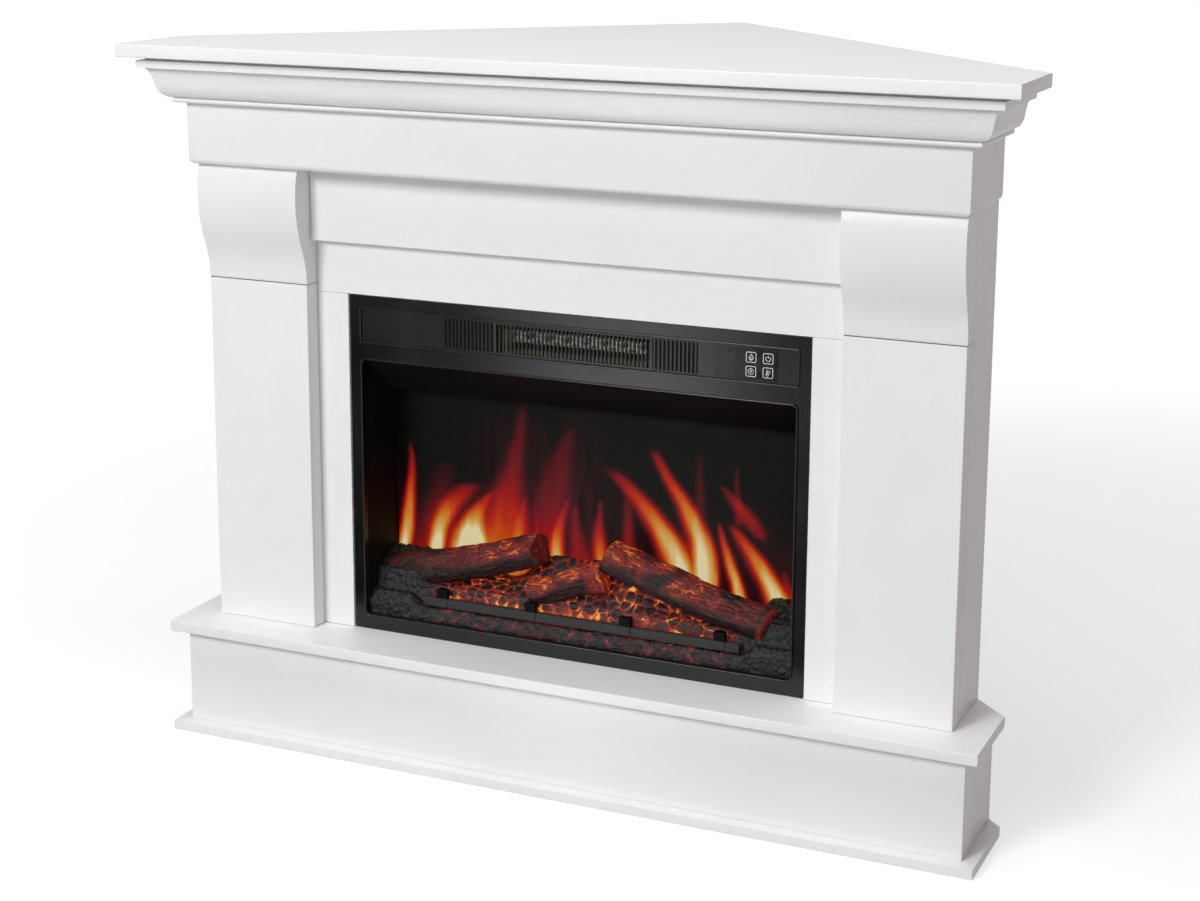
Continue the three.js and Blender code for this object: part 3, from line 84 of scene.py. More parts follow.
camera = bpy.data.objects.new("camera", bpy.data.cameras.new("camera"))
bpy.context.scene.collection.objects.link(camera)
camera.matrix_world = Matrix((
    (right.x, up.x, -forward.x, CAMERA_PLACE[0]),
    (right.y, up.y, -forward.y, CAMERA_PLACE[1]),
    (right.z, up.z, -forward.z, CAMERA_PLACE[2]),
    (0, 0, 0, 1)))
camera.data.lens = LENS_MM
camera.data.sensor_width = FILM_MM
camera.data.shift_y = LENS_SHIFT
camera.data.clip_end = FARTHEST
bpy.context.scene.camera = camera
bpy.context.scene.view_settings.view_transform = "Standard"
print("camera looks along:", tuple(round(v, 3) for v in forward))

# %% [markdown]
# A finish is a graph of shader nodes. Nodes can be joined by hand in the editor, but a long sum is
# hard to read there. Here a Value wraps a socket, and + - * / on it add Math nodes, so that the sum
# stays a Python expression.

# %% Shader sums as Python
class Value:
    """A number, colour or vector that a finish works out."""

    def __init__(self, finish, socket):
        self.finish = finish
        self.socket = socket

    def __add__(self, other):
        return self.finish.math("ADD", self, other)

    def __sub__(self, other):
        return self.finish.math("SUBTRACT", self, other)

    def __rsub__(self, other):
        return self.finish.math("SUBTRACT", other, self)

    def __mul__(self, other):
        return self.finish.math("MULTIPLY", self, other)

    def __truediv__(self, other):
        return self.finish.math("DIVIDE", self, other)

    def __rtruediv__(self, other):
        return self.finish.math("DIVIDE", other, self)

    def __pow__(self, other):
        return self.finish.math("POWER", self, other)

    def __rpow__(self, other):
        return self.finish.math("POWER", other, self)

    def __abs__(self):
        return self.finish.math("ABSOLUTE", self)

    __radd__ = __add__
    __rmul__ = __mul__


REFLECTED = [name for name in vars(Value) if name.startswith("__r")]
print("reflected forms:", REFLECTED)

# %% [markdown]
# A Finish is one material, or the world. Its method node adds any node: settings such as an
# operation or a ramp's stops are set first, then the sockets get their values or links. The other
# methods are short names for the nodes that come up most: noise, a smooth step, a mix of two
# colours, a bump.

# %% Build a finish node by node
class Finish:
    """A material, or the world, whose nodes are added one at a time."""

    def __init__(self, name, owner=None):
        self.owner = owner or bpy.data.materials.new(name)
        self.owner.use_nodes = True
        self.tree = self.owner.node_tree
        self.tree.nodes.clear()

    def node(self, kind, settings=None, sockets=None, output=0):
        """Adds a node and gives one of its outputs, by number or name."""
        made = self.tree.nodes.new("ShaderNode" + kind)
        for name, value in (settings or {}).items():
            if name == "stops":
                self.set_stops(made.color_ramp, value)
            else:
                setattr(made, name, value)
        for name, value in (sockets or {}).items():
            if isinstance(value, Value):
                self.tree.links.new(value.socket, made.inputs[name])
            else:
                made.inputs[name].default_value = value
        return Value(self, made.outputs[output]) if len(made.outputs) else None

    @staticmethod
    def set_stops(ramp, stops):
        while len(ramp.elements) < len(stops):
            ramp.elements.new(1)
        for stop, (place, colour) in zip(ramp.elements, stops):
            stop.position = place
            stop.color = colour

    def math(self, operation, *terms):
        return self.node("Math", {"operation": operation}, dict(enumerate(terms)))

    def smooth(self, value, start, stop, low=0.0, high=1.0):
        """Goes smoothly from low at start to high at stop, and stays there beyond them."""
        return self.node("MapRange", {"interpolation_type": "SMOOTHSTEP"}, {
            "Value": value, "From Min": start, "From Max": stop, "To Min": low, "To Max": high})

    def mix(self, factor, low, high):
        return self.node("Mix", {"data_type": "RGBA"}, {0: factor, 6: low, 7: high}, 2)

    def place(self):
        return self.node("TexCoord", output="Object")

    def axes(self, vector=None):
        """The three parts of a vector, or else of the place on the object in millimetres."""
        if vector is None:
            vector = self.node("VectorMath", {"operation": "SCALE"}, {0: self.place(), "Scale": 1 / MM})
        return [self.node("SeparateXYZ", None, {0: vector}, part) for part in range(3)]

    def noise(self, scale, detail=3, rough=0.5, vector=None, distortion=0.0):
        return self.node("TexNoise", None, {
            "Vector": vector or self.place(), "Scale": scale, "Detail": detail, "Roughness": rough,
            "Distortion": distortion})

    def attribute(self, name):
        """A number that a piece's mesh carries for each point."""
        return self.node("Attribute", {"attribute_name": name}, output="Fac")

    def bump(self, height, strength, distance):
        return self.node("Bump", None, {"Height": height, "Strength": strength, "Distance": distance})

    def surface(self, sockets):
        """Ends the material with one surface that takes these sockets."""
        self.node("OutputMaterial", None, {"Surface": self.node("BsdfPrincipled", None, sockets)})
        print(f"{self.owner.name}: {len(self.tree.nodes)} nodes")
        return self.owner


def grey(level, warm=0.0):
    """A neutral colour, or a warmer one, at a linear level."""
    return (level * (1 + warm), level, level * (1 - warm), 1)


print("mid grey:", grey(0.18))

# %% [markdown]
# The studio is a plain white room with soft light. One large lamp stands to the front left, so that
# the fronts are bright and the returns on the right fall into a warm shade, and a weaker one hangs
# over the shelf. More lamps could fill the shadows, but the world does it evenly. It shows as white
# to the camera and in reflections, while the light that it gives is only FILL.

# %% Light the studio
FILL = (0.245, 0.212, 0.21, 1)
WHITE_LIGHT = (1, 1, 1, 1)
world = bpy.data.worlds.new("studio")
bpy.context.scene.world = world
sky = Finish("studio", world)


def seen_directly(finish):
    """1 for the camera and for what shows in gloss and glass, 0 for the light that falls on things."""
    camera_ray, glossy_ray, through_glass = [
        finish.node("LightPath", output=f"Is {way} Ray") for way in ("Camera", "Glossy", "Transmission")]
    return finish.math("MAXIMUM", finish.math("MAXIMUM", camera_ray, glossy_ray), through_glass)


background = sky.node("Background", None, {
    "Color": sky.mix(seen_directly(sky), FILL, WHITE_LIGHT), "Strength": 1.0})
sky.node("OutputWorld", None, {"Surface": background})


def soft_lamp(name, place, target, size, power, colour):
    lamp = bpy.data.lights.new(name, "AREA")
    lamp.shape = "RECTANGLE"
    lamp.size, lamp.size_y = size
    lamp.energy = power
    lamp.color = colour
    holder = bpy.data.objects.new(name, lamp)
    holder.location = place
    holder.rotation_euler = (Vector(target) - Vector(place)).to_track_quat("-Z", "Y").to_euler()
    bpy.context.scene.collection.objects.link(holder)
    print(f"{name}: {power} W over {size[0]} by {size[1]} m")


soft_lamp("key_lamp", place=(-1.3, -4.5, 2.8), target=(0, 0, 0.4), size=(1.5, 1.3), power=152,
          colour=(0.965, 0.995, 1.0))
soft_lamp("top_lamp", place=(0.1, -1.05, 3.4), target=(0, -0.3, 0.3), size=(2.0, 0.9), power=32,
          colour=(0.97, 1, 1))

# %% [markdown]
# The floor is one large square. A plain white material would turn grey away from the lamps, so it
# also gives off a little light of its own, more of it far from the object. Only the camera and
# gloss see that light, which keeps the floor white at the picture's edge and leaves the object's
# soft shadow on it.

# %% Lay the floor
FLOOR_HALF, FLOOR_DROP = 30, 0.0004
NEAR_LIFT, FAR_LIFT = 0.58, 0.98
floor_finish = Finish("studio_floor")
floor_skin = floor_finish.node("BsdfDiffuse", None, {"Color": grey(0.6)})
distance = floor_finish.node("VectorMath", {"operation": "LENGTH"}, {0: floor_finish.place()}, 1)
lift = floor_finish.smooth(distance, 0.7, 3.5, NEAR_LIFT, FAR_LIFT)
floor_lift = floor_finish.node("Emission", None, {
    "Color": WHITE_LIGHT, "Strength": seen_directly(floor_finish) * lift})
floor_finish.node("OutputMaterial", None, {
    "Surface": floor_finish.node("AddShader", None, {0: floor_skin, 1: floor_lift})})
floor_mesh = bpy.data.meshes.new("studio_floor")
corners = [(x * FLOOR_HALF, y * FLOOR_HALF, 0) for x, y in ((-1, -1), (1, -1), (1, 1), (-1, 1))]
floor_mesh.from_pydata(corners, [], [(0, 1, 2, 3)])
floor_mesh.materials.append(floor_finish.owner)
floor = bpy.data.objects.new("studio_floor", floor_mesh)
floor.location.z = -FLOOR_DROP
bpy.context.scene.collection.objects.link(floor)
print("floor:", 2 * FLOOR_HALF, "m wide")

# %% [markdown]
# Black enamel only looks deep when something dark shows in its gloss. As in a studio, a black card
# lies on the floor in front, and a long soft strip of light on it draws one broad sheen across the
# trim. Both show in gloss alone: the camera doesn't see them, and they neither light nor shade the
# object.

# %% Lay the cards for the gloss
def gloss_card(name, points, faces, level, from_middle):
    """A card whose light falls from level, where from_middle is 0, to nothing where it is 1."""
    finish = Finish(name)
    strength = finish.smooth(finish.attribute("from_middle"), 1.0, 0.0, 0.0, level)
    finish.node("OutputMaterial", None, {"Surface": finish.node("Emission", None, {"Strength": strength})})
    mesh = bpy.data.meshes.new(name)
    mesh.from_pydata(points, [], faces)
    mesh.attributes.new("from_middle", "FLOAT", "POINT").data.foreach_set("value", from_middle)
    mesh.materials.append(finish.owner)
    card = bpy.data.objects.new(name, mesh)
    card.visible_camera = card.visible_diffuse = card.visible_transmission = card.visible_shadow = False
    bpy.context.scene.collection.objects.link(card)
    print(f"{name}: {len(faces)} faces, level {level}")


gloss_card("black_card",
           points=[(-0.86, -0.37, 0.002), (0.59, -0.37, 0.002), (-0.41, -5.7, 0.002), (-5.07, -5.7, 0.002)],
           faces=[(0, 1, 2, 3)], level=0.0, from_middle=[1.0] * 4)
gloss_card("strip_card",
           points=[(-0.29, -0.46, 0.004), (-0.04, -0.46, 0.004), (0.14, -0.46, 0.004),
                   (-2.20, -4.12, 0.004), (-1.60, -4.12, 0.004), (-1.17, -4.12, 0.004)],
           faces=[(0, 1, 4, 3), (1, 2, 5, 4)], level=5.4, from_middle=[1.0, 0.0, 1.0, 1.0, 0.0, 1.0])

# %% [markdown]
# The mantel is fibreboard under satin white paint. One flat colour would look like plastic, and a
# painted image would need unwrapping. Sprayed paint has a fine orange peel, a gloss that wanders a
# little, and is faintly warmer where it is thin, and three noises of different scale give all that.
# The backs of the boards are left raw. A mask finds them: they look straight back and lie inside
# the two wall lines, where |x| + y is less than WALL_LINE millimetres.

# %% White paint over fibreboard
THIN_PAINT, FULL_PAINT = (0.845, 0.838, 0.835, 1), (0.875, 0.873, 0.872, 1)
DARK_FIBRE, PALE_FIBRE = (0.30, 0.19, 0.10, 1), (0.50, 0.35, 0.21, 1)
WALL_LINE, WALL_BLUR = 520, 8


def white_paint():
    finish = Finish("white_paint")
    cloudy = finish.noise(3.5, 3, 0.55)
    peel = finish.noise(420, 2, 0.4)
    brushed = finish.noise(38, 3, 0.5)
    painted = finish.mix(finish.smooth(cloudy, 0.3, 0.7), THIN_PAINT, FULL_PAINT)
    fibre = finish.noise(900, 5, 0.7)
    raw = finish.mix(finish.smooth(fibre, 0.25, 0.75), DARK_FIBRE, PALE_FIBRE)
    x, y, _ = finish.axes()
    facing = finish.axes(finish.node("NewGeometry", output="Normal"))[1]
    backwards = finish.smooth(facing, 0.8, 0.9)
    off_wall = finish.smooth(abs(x) + y, WALL_LINE, WALL_LINE + WALL_BLUR)
    bare = backwards * (1 - off_wall)
    height = peel * 0.35 + brushed * 0.65
    return finish.surface({
        "Base Color": finish.mix(bare, painted, raw),
        "Roughness": finish.smooth(cloudy, 0.2, 0.8, 0.36, 0.46) + bare * 0.4,
        "Specular IOR Level": 0.42,
        "Normal": finish.bump(height, 0.10, 0.0008),
    })


WHITE = white_paint()

# %% [markdown]
# The frame along the walls is planed softwood. An image of wood would repeat from board to board.
# Noise that is stretched a long way in the direction of the board gives grain that never does, with
# darker late wood in narrow bands.

# %% Planed softwood
EARLY_WOOD, LATE_WOOD = (0.62, 0.44, 0.25, 1), (0.34, 0.19, 0.085, 1)


def planed_timber(name, along):
    """Softwood whose grain runs along a direction."""
    finish = Finish(name)
    along = Vector(along).normalized()
    side = along.cross(Vector((0, 0, 1)))
    side = side.normalized() if side.length > 0.1 else Vector((1, 0, 0))
    other = along.cross(side)
    run, wide, deep = [
        finish.node("VectorMath", {"operation": "DOT_PRODUCT"}, {0: finish.place(), 1: tuple(axis)}, 1)
        for axis in (along, side, other)]
    grain_place = finish.node("CombineXYZ", None, {0: run * 1.6, 1: wide * 34, 2: deep * 34})
    rings = finish.noise(2.2, 4, 0.6, grain_place, 0.6)
    bands = finish.math("SINE", rings * 60) * 0.5 + 0.5
    pores = finish.noise(9, 5, 0.7, grain_place)
    late = finish.smooth(bands, 0.45, 1.0)
    colour = finish.mix(late * 0.6 + pores * 0.25, EARLY_WOOD, LATE_WOOD)
    return finish.surface({
        "Base Color": colour,
        "Roughness": finish.smooth(pores, 0.3, 0.7, 0.62, 0.82),
        "Normal": finish.bump(late * 0.6 + pores * 0.4, 0.25, 0.0006),
    })


TIMBER_POST = planed_timber("timber_post", (0, 0, 1))
TIMBER_LEFT = planed_timber("timber_left", (1, 1, 0))
TIMBER_RIGHT = planed_timber("timber_right", (1, -1, 0))

# %% [markdown]
# The heater's trim is steel with black powder enamel: a fine pebbled skin and a soft sheen. Its
# moulded strip, grille and small parts are black plastic with a spark-eroded texture. Inner sheets
# are dead black, so that nothing in the recess competes with the flames. The three differ only in
# level, gloss and grain, so one function makes them all.

# %% Black enamel, plastic and inner sheets
def black_skin(name, level, rough, grain, relief, specular):
    finish = Finish(name)
    pebbles = finish.noise(grain, 2, 0.5)
    drift = finish.noise(6, 3, 0.6)
    dark, light = grey(level * 0.85, 0.02), grey(level * 1.2, -0.01)
    return finish.surface({
        "Base Color": finish.mix(finish.smooth(drift, 0.3, 0.7), dark, light),
        "Roughness": finish.smooth(drift, 0.25, 0.75, rough - 0.04, rough + 0.05),
        "Specular IOR Level": specular,
        "Normal": finish.bump(pebbles, relief, 0.0003),
    })


ENAMEL = black_skin("black_enamel", level=0.0035, rough=0.21, grain=1500, relief=0.05, specular=0.38)
PLASTIC = black_skin("black_plastic", level=0.0045, rough=0.25, grain=2400, relief=0.05, specular=0.38)
# The inner black also serves as painted shade in the louvre's blind slots.
INNER_BLACK_AND_SLOT_SHADE = black_skin("inner_black", level=0.0035, rough=0.55, grain=1800, relief=0.15, specular=0.10)

# %% [markdown]
# The grate bar is rough with scale, and its grey is partly painted light: it is set lighter, to make
# up for the shade of the recess round it. The clips that stand on it are black. One fine noise gives
# both tone and roughness, because the paler the scale is, the duller it is.

# %% Grate bar and clip finishes
def scaled_steel(name, dark, light, specular):
    finish = Finish(name)
    scale = finish.noise(900, 3, 0.6)
    return finish.surface({
        "Base Color": finish.mix(scale, grey(dark), grey(light)),
        "Roughness": finish.smooth(scale, 0.3, 0.7, 0.40, 0.60),
        "Specular IOR Level": specular,
        "Normal": finish.bump(scale, 0.35, 0.0003),
    })


# The bar's grey is set lighter as painted light against the recess's shade.
GRATE_STEEL_PAINTED_LIGHT = scaled_steel("grate_steel", dark=0.024, light=0.044, specular=0.2)
CLIP_BLACK = scaled_steel("clip_black", dark=0.001, light=0.003, specular=0.07)

# %% [markdown]
# Zinc coated sheet shows its crystals as a patchwork of slightly different greys. Drawing each
# crystal would be slow, and a cell texture gives every one its own grey. Bright tin, heater wire,
# ceramic, mica and circuit board are simpler, and share one function: a noise for tone and one for
# grain.

# %% Sheet metal and other inner finishes
def zinc_sheet():
    finish = Finish("zinc_sheet")
    crystals = finish.node("TexVoronoi", {"distance": "CHEBYCHEV"}, {
        "Vector": finish.place(), "Scale": 62.0, "Randomness": 1.0}, "Color")
    tone = finish.node("SeparateColor", None, {0: crystals}, 0)
    smear = finish.noise(16, 4, 0.6)
    colour = finish.mix(tone * 0.6 + smear * 0.4, (0.36, 0.375, 0.39, 1), (0.60, 0.61, 0.62, 1))
    return finish.surface({
        "Base Color": colour,
        "Metallic": 0.85,
        "Roughness": finish.smooth(tone, 0.0, 1.0, 0.34, 0.50),
        "Normal": finish.bump(smear, 0.12, 0.001),
    })


def mottled(name, dark, light, scale, rough, metallic=0.0, relief=0.1, lift=(0, 0, 0, 1)):
    """Two tones in soft spots. The lift is a faint light, for a wire that the louvre keeps in shade."""
    finish = Finish(name)
    tone = finish.noise(scale, 4, 0.6)
    fine = finish.noise(scale * 9, 3, 0.6)
    return finish.surface({
        "Base Color": finish.mix(finish.smooth(tone * 0.6 + fine * 0.4, 0.3, 0.7), dark, light),
        "Metallic": metallic,
        "Roughness": finish.smooth(tone, 0.25, 0.75, rough - 0.06, rough + 0.06),
        "Emission Color": lift,
        "Emission Strength": 1.0,
        "Normal": finish.bump(fine, relief, 0.0005),
    })


ZINC = zinc_sheet()
TIN = mottled("bright_tin", (0.56, 0.56, 0.55, 1), (0.72, 0.72, 0.70, 1),
              scale=90, rough=0.24, metallic=0.95, relief=0.05)
WIRE = mottled("heater_wire", (0.72, 0.70, 0.64, 1), (0.90, 0.88, 0.82, 1),
               scale=160, rough=0.40, lift=(0.12, 0.112, 0.095, 1))
CERAMIC = mottled("white_ceramic", (0.80, 0.79, 0.74, 1), (0.88, 0.87, 0.84, 1),
                  scale=300, rough=0.35, relief=0.05)
MICA = mottled("mica_board", (0.42, 0.34, 0.20, 1), (0.66, 0.57, 0.39, 1),
               scale=260, rough=0.55, relief=0.3)
CIRCUIT = mottled("circuit_board", (0.008, 0.06, 0.022, 1), (0.02, 0.12, 0.045, 1),
                  scale=340, rough=0.42, relief=0.2)

# %% [markdown]
# The touch panel is a strip of gloss black acrylic. On black, smears and fingerprints show only in
# the gloss, so the noise that draws them goes mostly into the roughness.

# %% Gloss panel
def gloss_panel():
    finish = Finish("touch_gloss")
    smears = finish.noise(70, 5, 0.65, distortion=1.5)
    return finish.surface({
        "Base Color": finish.mix(smears, grey(0.006), grey(0.011, -0.02)),
        "Roughness": finish.smooth(smears, 0.35, 0.75, 0.12, 0.30),
        "Specular IOR Level": 0.28,
        "Normal": finish.bump(smears, 0.02, 0.0003),
    })


GLOSS = gloss_panel()

# %% [markdown]
# On the real heater the flames are light thrown on a smoked screen, so a simulated fire would be
# the wrong thing here. Each flame is drawn as a shape on the screen's plane: a middle line that
# bends as it rises, a width on each side of it, and a heat that falls off towards the edges and the
# tip. The numbers are millimetres of the heater.

# %% Flame shapes
# Middle line as (x, z) points going up, half width at even levels from foot to tip, heat at even levels.
FLAMES = [
    ([(-279, 50), (-272, 91), (-266, 125), (-259, 179), (-263, 228)],
     (10, 11, 9, 6, 3), (1.3, 1.1, 0.75, 0.34)),
    ([(-230, 64), (-225, 98), (-219, 124), (-206, 148), (-170, 184)],
     (10, 12, 15, 20, 12), (1.3, 1.15, 0.75, 0.32)),
    ([(-246, 60), (-238, 100), (-224, 150), (-210, 208)], (22, 24, 18, 9), (0.46, 0.33, 0.22, 0.1)),
    ([(-174, 60), (-178, 104), (-176, 130), (-164, 150), (-138, 178)],
     (28, 30, 23, 13, 4), (2.0, 1.55, 0.85, 0.3)),
    ([(-120, 70), (-128, 120), (-133, 148), (-121, 180), (-110, 230), (-102, 296)],
     (36, 38, 28, 15, 10, 3),
     (0.72, 0.64, 0.48, 0.32, 0.17)),
    ([(-158, 50), (-152, 100), (-148, 140), (-140, 190)],
     (84, 76, 52, 16), (0.40, 0.36, 0.25, 0.08)),
    ([(-78, 90), (-72, 140), (-64, 185), (-52, 222), (-37, 272)],
     (28, 26, 25, 17, 4), (0.46, 0.38, 0.30, 0.16)),
    ([(-113, 90), (-109, 119), (-107, 142), (-101, 172)], (9, 8, 6, 2), (0.62, 0.55, 0.3)),
    ([(-56, 70), (-57, 108), (-55, 132), (-42, 180)], (12, 11, 8, 3), (1.25, 0.95, 0.55, 0.3)),
    ([(-24, 76), (-26, 110), (-30, 138), (-34, 172)], (18, 14, 9, 4), (0.55, 0.4, 0.22)),
    ([(5, 74), (2, 106), (0, 133), (1, 184)], (12, 11, 7, 2), (1.05, 0.8, 0.5, 0.28)),
    ([(114, 60), (105, 112), (88, 146), (60, 180), (10, 226)],
     (16, 20, 20, 16, 12), (1.25, 1.25, 1.1, 0.75, 0.34)),
    ([(137, 70), (136, 130), (127, 168), (98, 202), (70, 258)],
     (14, 17, 15, 11, 6), (1.2, 1.2, 0.85, 0.34)),
    ([(38, 84), (40, 127), (39, 160), (38, 200)], (11, 10, 8, 6), (0.42, 0.36, 0.22)),
    ([(133, 120), (132, 172), (131, 210), (130, 256)], (8, 8, 6, 4), (0.3, 0.26, 0.14)),
    ([(150, 74), (153, 104), (151, 128), (143, 162)], (6, 6, 5, 2), (0.95, 0.6, 0.28)),
    ([(188, 60), (181, 92), (172, 118), (156, 174)], (9, 9, 7, 2), (1.3, 0.95, 0.32)),
    ([(246, 40), (234, 82), (218, 110), (198, 138), (172, 174)],
     (15, 17, 16, 12, 6), (1.3, 1.25, 0.9, 0.38)),
    ([(209, 160), (197, 178), (183, 192), (156, 218)], (10, 14, 11, 3), (0.38, 0.5, 0.26)),
    ([(184, 176), (179, 205), (177, 222), (180, 246)], (7, 5, 4, 2), (0.36, 0.28, 0.14)),
    ([(268, 40), (258, 70), (248, 92), (240, 122)], (15, 12, 8, 3), (0.85, 0.5, 0.22)),
]

print("flames:", len(FLAMES))

# %% [markdown]
# Each of a flame's numbers changes smoothly from its foot to its tip. A polynomial through the
# values of the table does that with a handful of sums. The distance to the middle line, counted in
# half widths, then says how hot the place is: hottest inside, and nothing a little beyond the edge.

# %% Heat of one flame
INSIDE, OUTSIDE, SPINE_LEVELS = 0.15, 1.6, 9


def curve_through(finish, t, values):
    """A polynomial through values spread evenly over t from 0 to 1."""
    degree = min(len(values) - 1, 4)
    terms = [float(term) for term in np.polyfit(np.linspace(0, 1, len(values)), values, degree)]
    total = finish.math("MULTIPLY_ADD", t, terms[0], terms[1])
    for term in terms[2:]:
        total = finish.math("MULTIPLY_ADD", total, t, term)
    return total


def flame_heat(finish, x, z, points, widths, heats):
    """Heat of one flame at a place on the screen."""
    foot, tip = points[0][1], points[-1][1]
    levels = np.linspace(foot, tip, SPINE_LEVELS)
    spine = np.interp(levels, [level for _, level in points], [middle for middle, _ in points])
    t = (z - float(foot)) / float(tip - foot)
    off = abs(x - curve_through(finish, t, spine)) / curve_through(finish, t, widths)
    within = finish.smooth(t, 1.0, 0.9) * finish.smooth(t, -0.2, 0.0)
    return finish.smooth(off, OUTSIDE, INSIDE) * curve_through(finish, t, heats) * within


print("one flame's edge: from", INSIDE, "to", OUTSIDE, "half widths")

# %% [markdown]
# The screen adds the flames up, so that flames that cross grow brighter: the hotter of two counts
# in full and the other for a third. A low red glow above the logs and one faint haze come on top, a
# slow noise bends everything as moving air does, and one ramp turns heat into colour, from dark red
# through orange to nearly white. The screen itself is nearly black and a little frosted.

# %% Flame screen finish
FIRE_COLOURS = [
    (0.0, (0, 0, 0, 1)), (0.10, (0.024, 0.0006, 0.0022, 1)), (0.24, (0.105, 0.002, 0.0045, 1)),
    (0.38, (0.27, 0.004, 0.003, 1)), (0.50, (0.40, 0.018, 0.002, 1)), (0.62, (0.48, 0.075, 0.003, 1)),
    (0.76, (0.52, 0.19, 0.020, 1)), (0.88, (0.54, 0.33, 0.090, 1)), (1.0, (0.66, 0.56, 0.32, 1))]
HAZE_COLOUR = (0.038, 0.002, 0.008, 1)
CROSSING_SHARE, HEAT_CURVE, HEAT_GAIN, SWAY = 0.3, 1.1, 0.71, 9


def flame_screen():
    finish = Finish("flame_screen_glow")
    x, _, z = finish.axes()
    x, z = x - HEATER.x / MM, z - HEATER.z / MM
    drift = finish.node("CombineXYZ", None, {0: x * 0.012, 1: 0.0, 2: z * 0.016})
    x = x + (finish.noise(1.0, 2, 0.5, drift) - 0.5) * SWAY
    lick = finish.node("CombineXYZ", None, {0: x * 0.09, 1: 3.7, 2: z * 0.012})
    streaks = finish.noise(1.0, 2, 0.5, lick)
    heat = 0.0
    for shape in FLAMES:
        flame = flame_heat(finish, x, z, *shape)
        heat = finish.math("MAXIMUM", heat, flame) + finish.math("MINIMUM", heat, flame) * CROSSING_SHARE
    low_glow = finish.smooth(z, 215, 70) * finish.smooth(streaks, 0.2, 0.8, 0.06, 0.18)
    heat = (heat + low_glow) * finish.smooth(streaks, 0.3, 0.7, 0.98, 1.02)
    fire = finish.node("ValToRGB", {"stops": FIRE_COLOURS}, {0: heat ** HEAT_CURVE * HEAT_GAIN})
    haze_reach = finish.math("MAXIMUM", abs(x + 65) / 95, abs(z - 130) / 150)
    haze = finish.smooth(haze_reach, 1.2, 0.0) * finish.smooth(streaks, 0.25, 0.8)
    glow = finish.node("Mix", {"data_type": "RGBA", "blend_type": "ADD"}, {
        0: 1.0, 6: fire, 7: finish.mix(haze, (0, 0, 0, 1), HAZE_COLOUR)}, 2)
    frost = finish.noise(1100, 2, 0.5)
    return finish.surface({
        "Base Color": finish.mix(frost, (0.0045, 0.0045, 0.0036, 1), (0.0065, 0.0062, 0.005, 1)),
        "Roughness": finish.smooth(frost, 0.3, 0.7, 0.36, 0.46),
        "Specular IOR Level": 0.05,
        "Emission Color": glow,
        "Emission Strength": 1.0,
    })


FLAME_SCREEN = flame_screen()

# %% [markdown]
# Painted edges are never sharp: they catch a thin line of light. The mesh from the model stays as
# it is, and modifiers add a narrow bevel, smooth shading of shallow angles and flat broad faces.
# The smooth shading is a small group of geometry nodes, as the built-in tool for it makes.

# %% Smooth shading below an angle
SHALLOW_ANGLE, BEVEL_ANGLE, WELD_REACH = math.radians(32), math.radians(40), 1e-5


def shading_group(angle):
    group = bpy.data.node_groups.new("smooth_shallow_edges", "GeometryNodeTree")
    group.interface.new_socket("Geometry", in_out="INPUT", socket_type="NodeSocketGeometry")
    group.interface.new_socket("Geometry", in_out="OUTPUT", socket_type="NodeSocketGeometry")
    start = group.nodes.new("NodeGroupInput")
    end = group.nodes.new("NodeGroupOutput")
    edge = group.nodes.new("GeometryNodeInputMeshEdgeAngle")
    test = group.nodes.new("FunctionNodeCompare")
    test.operation = "LESS_EQUAL"
    test.inputs[1].default_value = angle
    all_smooth = group.nodes.new("GeometryNodeSetShadeSmooth")
    by_edge = group.nodes.new("GeometryNodeSetShadeSmooth")
    by_edge.domain = "EDGE"
    link = group.links.new
    link(start.outputs[0], all_smooth.inputs[0])
    link(all_smooth.outputs[0], by_edge.inputs[0])
    link(edge.outputs[0], test.inputs[0])
    link(test.outputs[0], by_edge.inputs["Shade Smooth"])
    link(by_edge.outputs[0], end.inputs[0])
    return group


SHALLOW = shading_group(SHALLOW_ANGLE)
print("edges smooth below", round(math.degrees(SHALLOW_ANGLE)), "degrees")

# %% [markdown]
# The four modifiers work in a fixed order. The weld joins the corners that the model keeps apart,
# the bevel can then round true edges, the shading group smooths what is shallow, and weighted
# normals keep broad faces flat.

# %% Soften a piece's edges
def soften(piece, bevel):
    """Takes the edges off, where bevel is their width in metres, and keeps the broad faces flat."""
    weld = piece.modifiers.new("weld", "WELD")
    weld.merge_threshold = WELD_REACH
    if bevel:
        rounding = piece.modifiers.new("bevel", "BEVEL")
        rounding.width = bevel
        rounding.segments = 2
        rounding.limit_method = "ANGLE"
        rounding.angle_limit = BEVEL_ANGLE
    shade = piece.modifiers.new("shade", "NODES")
    shade.node_group = SHALLOW
    flat = piece.modifiers.new("flat_faces", "WEIGHTED_NORMAL")
    flat.keep_sharp = True


print("edges rounded above", round(math.degrees(BEVEL_ANGLE)), "degrees")

# %% [markdown]
# Every node of the model now gets its finish. Lines of code, one for each node, would hide what is
# missing, so one table lists them, with the width of each bevel in metres. The logs, coals, coil
# and foot get pieces of their own later.

# %% Dress the model's nodes
SIDES = ("left", "right")
WRAPS = ("front", "left", "right")


def each(parts, ends):
    return [f"{part}_{end}" for part in parts for end in ends]


